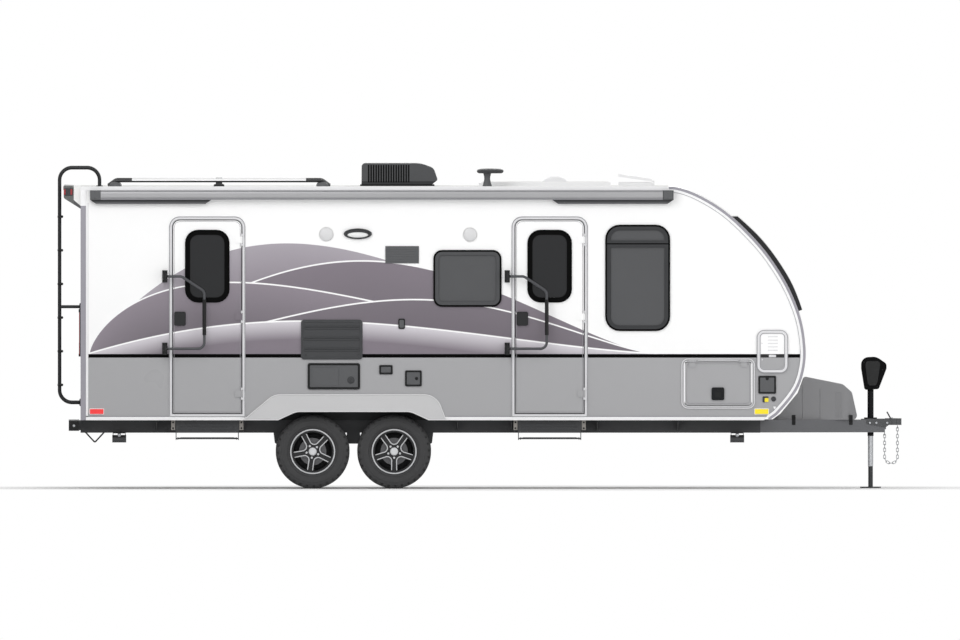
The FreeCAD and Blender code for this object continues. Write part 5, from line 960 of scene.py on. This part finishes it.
def build_chains():
    """Round-wire safety chains that hang from the tongue to the coupler, in place of the flat links."""
    pitch, wire, half_width, turn = 0.032, 0.0033, 0.0100, 30
    angles = [0] * 7 + [turn * step for step in range(1, 6)] + [180] * 9
    form = bmesh.new()
    for side in BOTH:
        spot = Vector((3.777, side * 0.052, 0.49855))
        for number, angle in enumerate(angles):
            lean = math.radians(angle)
            step = Vector((math.sin(lean), 0, -math.cos(lean))) * pitch
            before = set(form.verts)
            ring = bmesh.ops.create_circle(form, segments=8, radius=wire,
                                           matrix=Matrix.Translation((half_width, 0, 0)))
            edges = list({edge for vert in ring["verts"] for edge in vert.link_edges})
            bmesh.ops.spin(form, geom=ring["verts"] + edges, cent=(0, 0, 0), axis=(0, 1, 0), dvec=(0, 0, 0),
                           angle=2 * math.pi, steps=16, use_merge=True)
            link = [vert for vert in form.verts if vert not in before]
            for sign in (1, -1):
                half = [vert for vert in link if vert.co.z * sign > 1e-5]
                bmesh.ops.translate(form, verts=half, vec=(0, 0, sign * (pitch / 2 + 0.00325 - half_width)))
            place = Matrix.Translation(spot + step / 2) @ Matrix.Rotation(-lean, 4, "Y")
            if number % 2:
                place = place @ Matrix.Rotation(math.pi / 2, 4, "Z")
            bmesh.ops.transform(form, matrix=place, verts=link)
            spot += step
    piece("wire_chains", form, zinc, slot="zinc_steel", hides=("safety_chains",))


def build_steps():
    """Grip bands and bolts on the folded entry steps."""
    grips, bolts, front = bmesh.new(), bmesh.new(), -1.166
    for middle in DOOR_MIDDLES.values():
        for z in ((0.579, 0.604), (0.545, 0.565)):
            slab(grips, about(middle, 0.262), z, (front - 0.004, front + 0.001), 0.004)
            for number in range(24):
                x = middle - 0.250 + number * 0.0213
                slab(grips, (x, x + 0.008), shrunk(z, 0.004), (front - 0.006, front - 0.003), 0.002)
        for x in about(middle, STEP_STRAP):
            for z in (0.562, 0.616):
                bar(bolts, (x, front - 0.007, z), (x, front + 0.001, z), 0.009, 6)
    piece("step_grip_bands", grips, grey_plastic, slot="step_metal", soften=0.0008)
    piece("step_bolts", bolts, black_plastic, slot="zinc_steel", soften=0.0006)
    for place, middle in DOOR_MIDDLES.items():
        form = bmesh.new()
        for number in range(5):
            y = -1.024 + number * 0.034
            slab(form, about(middle, 0.25), (0.4725, 0.4760), (y, y + 0.012), 0.0015)
        piece(f"{place}_step_grip", form, grey_plastic, body=f"{place}_step", slot="step_metal")


def build_under_gear():
    """Spring clips, brake backing plates inside the wheels and pivot bolts of the stabilisers."""
    clips, backing = bmesh.new(), bmesh.new()
    for middle in WHEELS.values():
        for side in BOTH:
            for x in about(middle, 0.038):
                for y in about(side * 0.83, 0.028):
                    bar(clips, (x, y, 0.300), (x, y, 0.398), 0.006, 10)
                    bar(clips, (x, y, 0.297), (x, y, 0.305), 0.010, 6)
            hub = (middle, side * (WHEEL_PLANE - 0.108), AXLE_HEIGHT)
            turned(backing, [(0.05, -0.004), (0.150, -0.004), (0.166, 0.002), (0.178, 0.012), (0.180, 0.012),
                             (0.170, -0.002), (0.152, -0.008), (0.05, -0.008)], hub, (0, side, 0), 48)
    piece("spring_bolts", clips, zinc, slot="zinc_steel")
    piece("brake_backing_plates", backing, axle_coat, slot="axle_steel")
    for corner in CORNERS:
        low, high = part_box(f"{corner}_stabiliser")
        side, face = (RIGHT, low.y) if "right" in corner else (LEFT, high.y)
        form = bmesh.new()
        turned(form, cap(0.016, 0.008), ((low.x + high.x) / 2, face, 0.495), (0, side, 0), 16)
        piece(f"{corner}_stabiliser_bolt", form, zinc, body=f"{corner}_stabiliser", slot="zinc_steel")


def build_floor():
    """A pale studio floor that fades to white away from the caravan."""
    bpy.ops.mesh.primitive_plane_add(size=60, location=(0, 0, -0.001))
    ground = bpy.context.object
    ground.name = "studio_floor"
    made = bpy.data.materials.new("studio_floor_paint")
    made.use_nodes = True
    tree = made.node_tree
    shader = tree.nodes["Principled BSDF"]
    for socket, value in (("Base Color", linear("#F6F6F6")), ("Roughness", 1.0), ("Specular IOR Level", 0.0)):
        shader.inputs[socket].default_value = value
    place = add(tree, "Mapping", {"Vector": add(tree, "TexCoord").outputs["Object"], "Scale": (0.17, 0.17, 1)})
    away = add(tree, "VectorMath", {0: place.outputs[0]}, operation="LENGTH")
    fade = add(tree, "MapRange", {0: away.outputs["Value"], 1: 0.6, 2: 1.0}, interpolation_type="SMOOTHSTEP")
    share = both(tree, fade.outputs[0], add(tree, "LightPath").outputs["Is Camera Ray"])
    white = add(tree, "Emission", {"Color": linear("#FFFFFF")})
    blend = add(tree, "MixShader", {0: share, 1: shader.outputs[0], 2: white.outputs[0]})
    tree.links.new(blend.outputs[0], tree.nodes["Material Output"].inputs["Surface"])
    ground.data.materials.append(made)


def build_light():
    """A white sky that looks brighter to the eye than it lights, and three broad lamps."""
    world = bpy.data.worlds.new("studio")
    bpy.context.scene.world = world
    world.use_nodes = True
    tree = world.node_tree
    sky = tree.nodes["Background"]
    sky.inputs[0].default_value = linear("#FFFFFF")
    path = add(tree, "LightPath")
    seen = path.outputs["Is Camera Ray"]
    for kind in ("Is Glossy Ray", "Is Transmission Ray"):
        seen = add(tree, "Math", {0: seen, 1: path.outputs[kind]}, operation="MAXIMUM").outputs[0]
    level = add(tree, "MapRange", {0: seen, 3: 0.62, 4: 1.0})
    tree.links.new(level.outputs[0], sky.inputs[1])
    for name, spot, power in (("key", (-3.5, -7.5, 6.5), 225.0), ("fill", (5.5, -7.0, 3.0), 130.0),
                              ("back", (0.0, 7.5, 5.5), 160.0)):
        lamp = bpy.data.lights.new(name, "AREA")
        lamp.shape = "DISK"
        lamp.size = 6.0
        lamp.energy = power
        holder = bpy.data.objects.new(name, lamp)
        holder.location = spot
        aim = Vector((0, 0, 1.2)) - Vector(spot)
        holder.rotation_euler = aim.to_track_quat("-Z", "Y").to_euler()
        bpy.context.scene.collection.objects.link(holder)


def build_camera():
    """A long side view from the right, level with the windows and tilted just enough to see the floor's shadow."""
    view = bpy.data.cameras.new("side_view")
    view.type = "ORTHO"
    view.ortho_scale = 8.933
    view.clip_end = 100
    holder = bpy.data.objects.new("side_view", view)
    raised, distance = math.radians(0.3), 14
    target = Vector((0.012, -SIDE, 1.569))
    back = Vector((0, -math.cos(raised), math.sin(raised)))
    holder.location = target + back * distance
    holder.rotation_euler = (-back).to_track_quat("-Z", "Y").to_euler()
    bpy.context.scene.collection.objects.link(holder)
    bpy.context.scene.camera = holder


for build in (build_camera, build_floor, build_light, build_mouldings, build_belt, build_tyres, build_windows,
              build_doors, build_fridge_vent, build_heater_door, build_small_hatches, build_front_hatch,
              build_lockers, build_speakers_and_lamp, build_skirt_beads, build_awning, build_roof_details,
              build_ladder, build_tail, build_marker_lamps, build_tank_cover, build_jack_details,
              build_coupler_bolts, build_chains, build_steps, build_under_gear):
    build()

bpy.context.scene.view_settings.view_transform = "Standard"
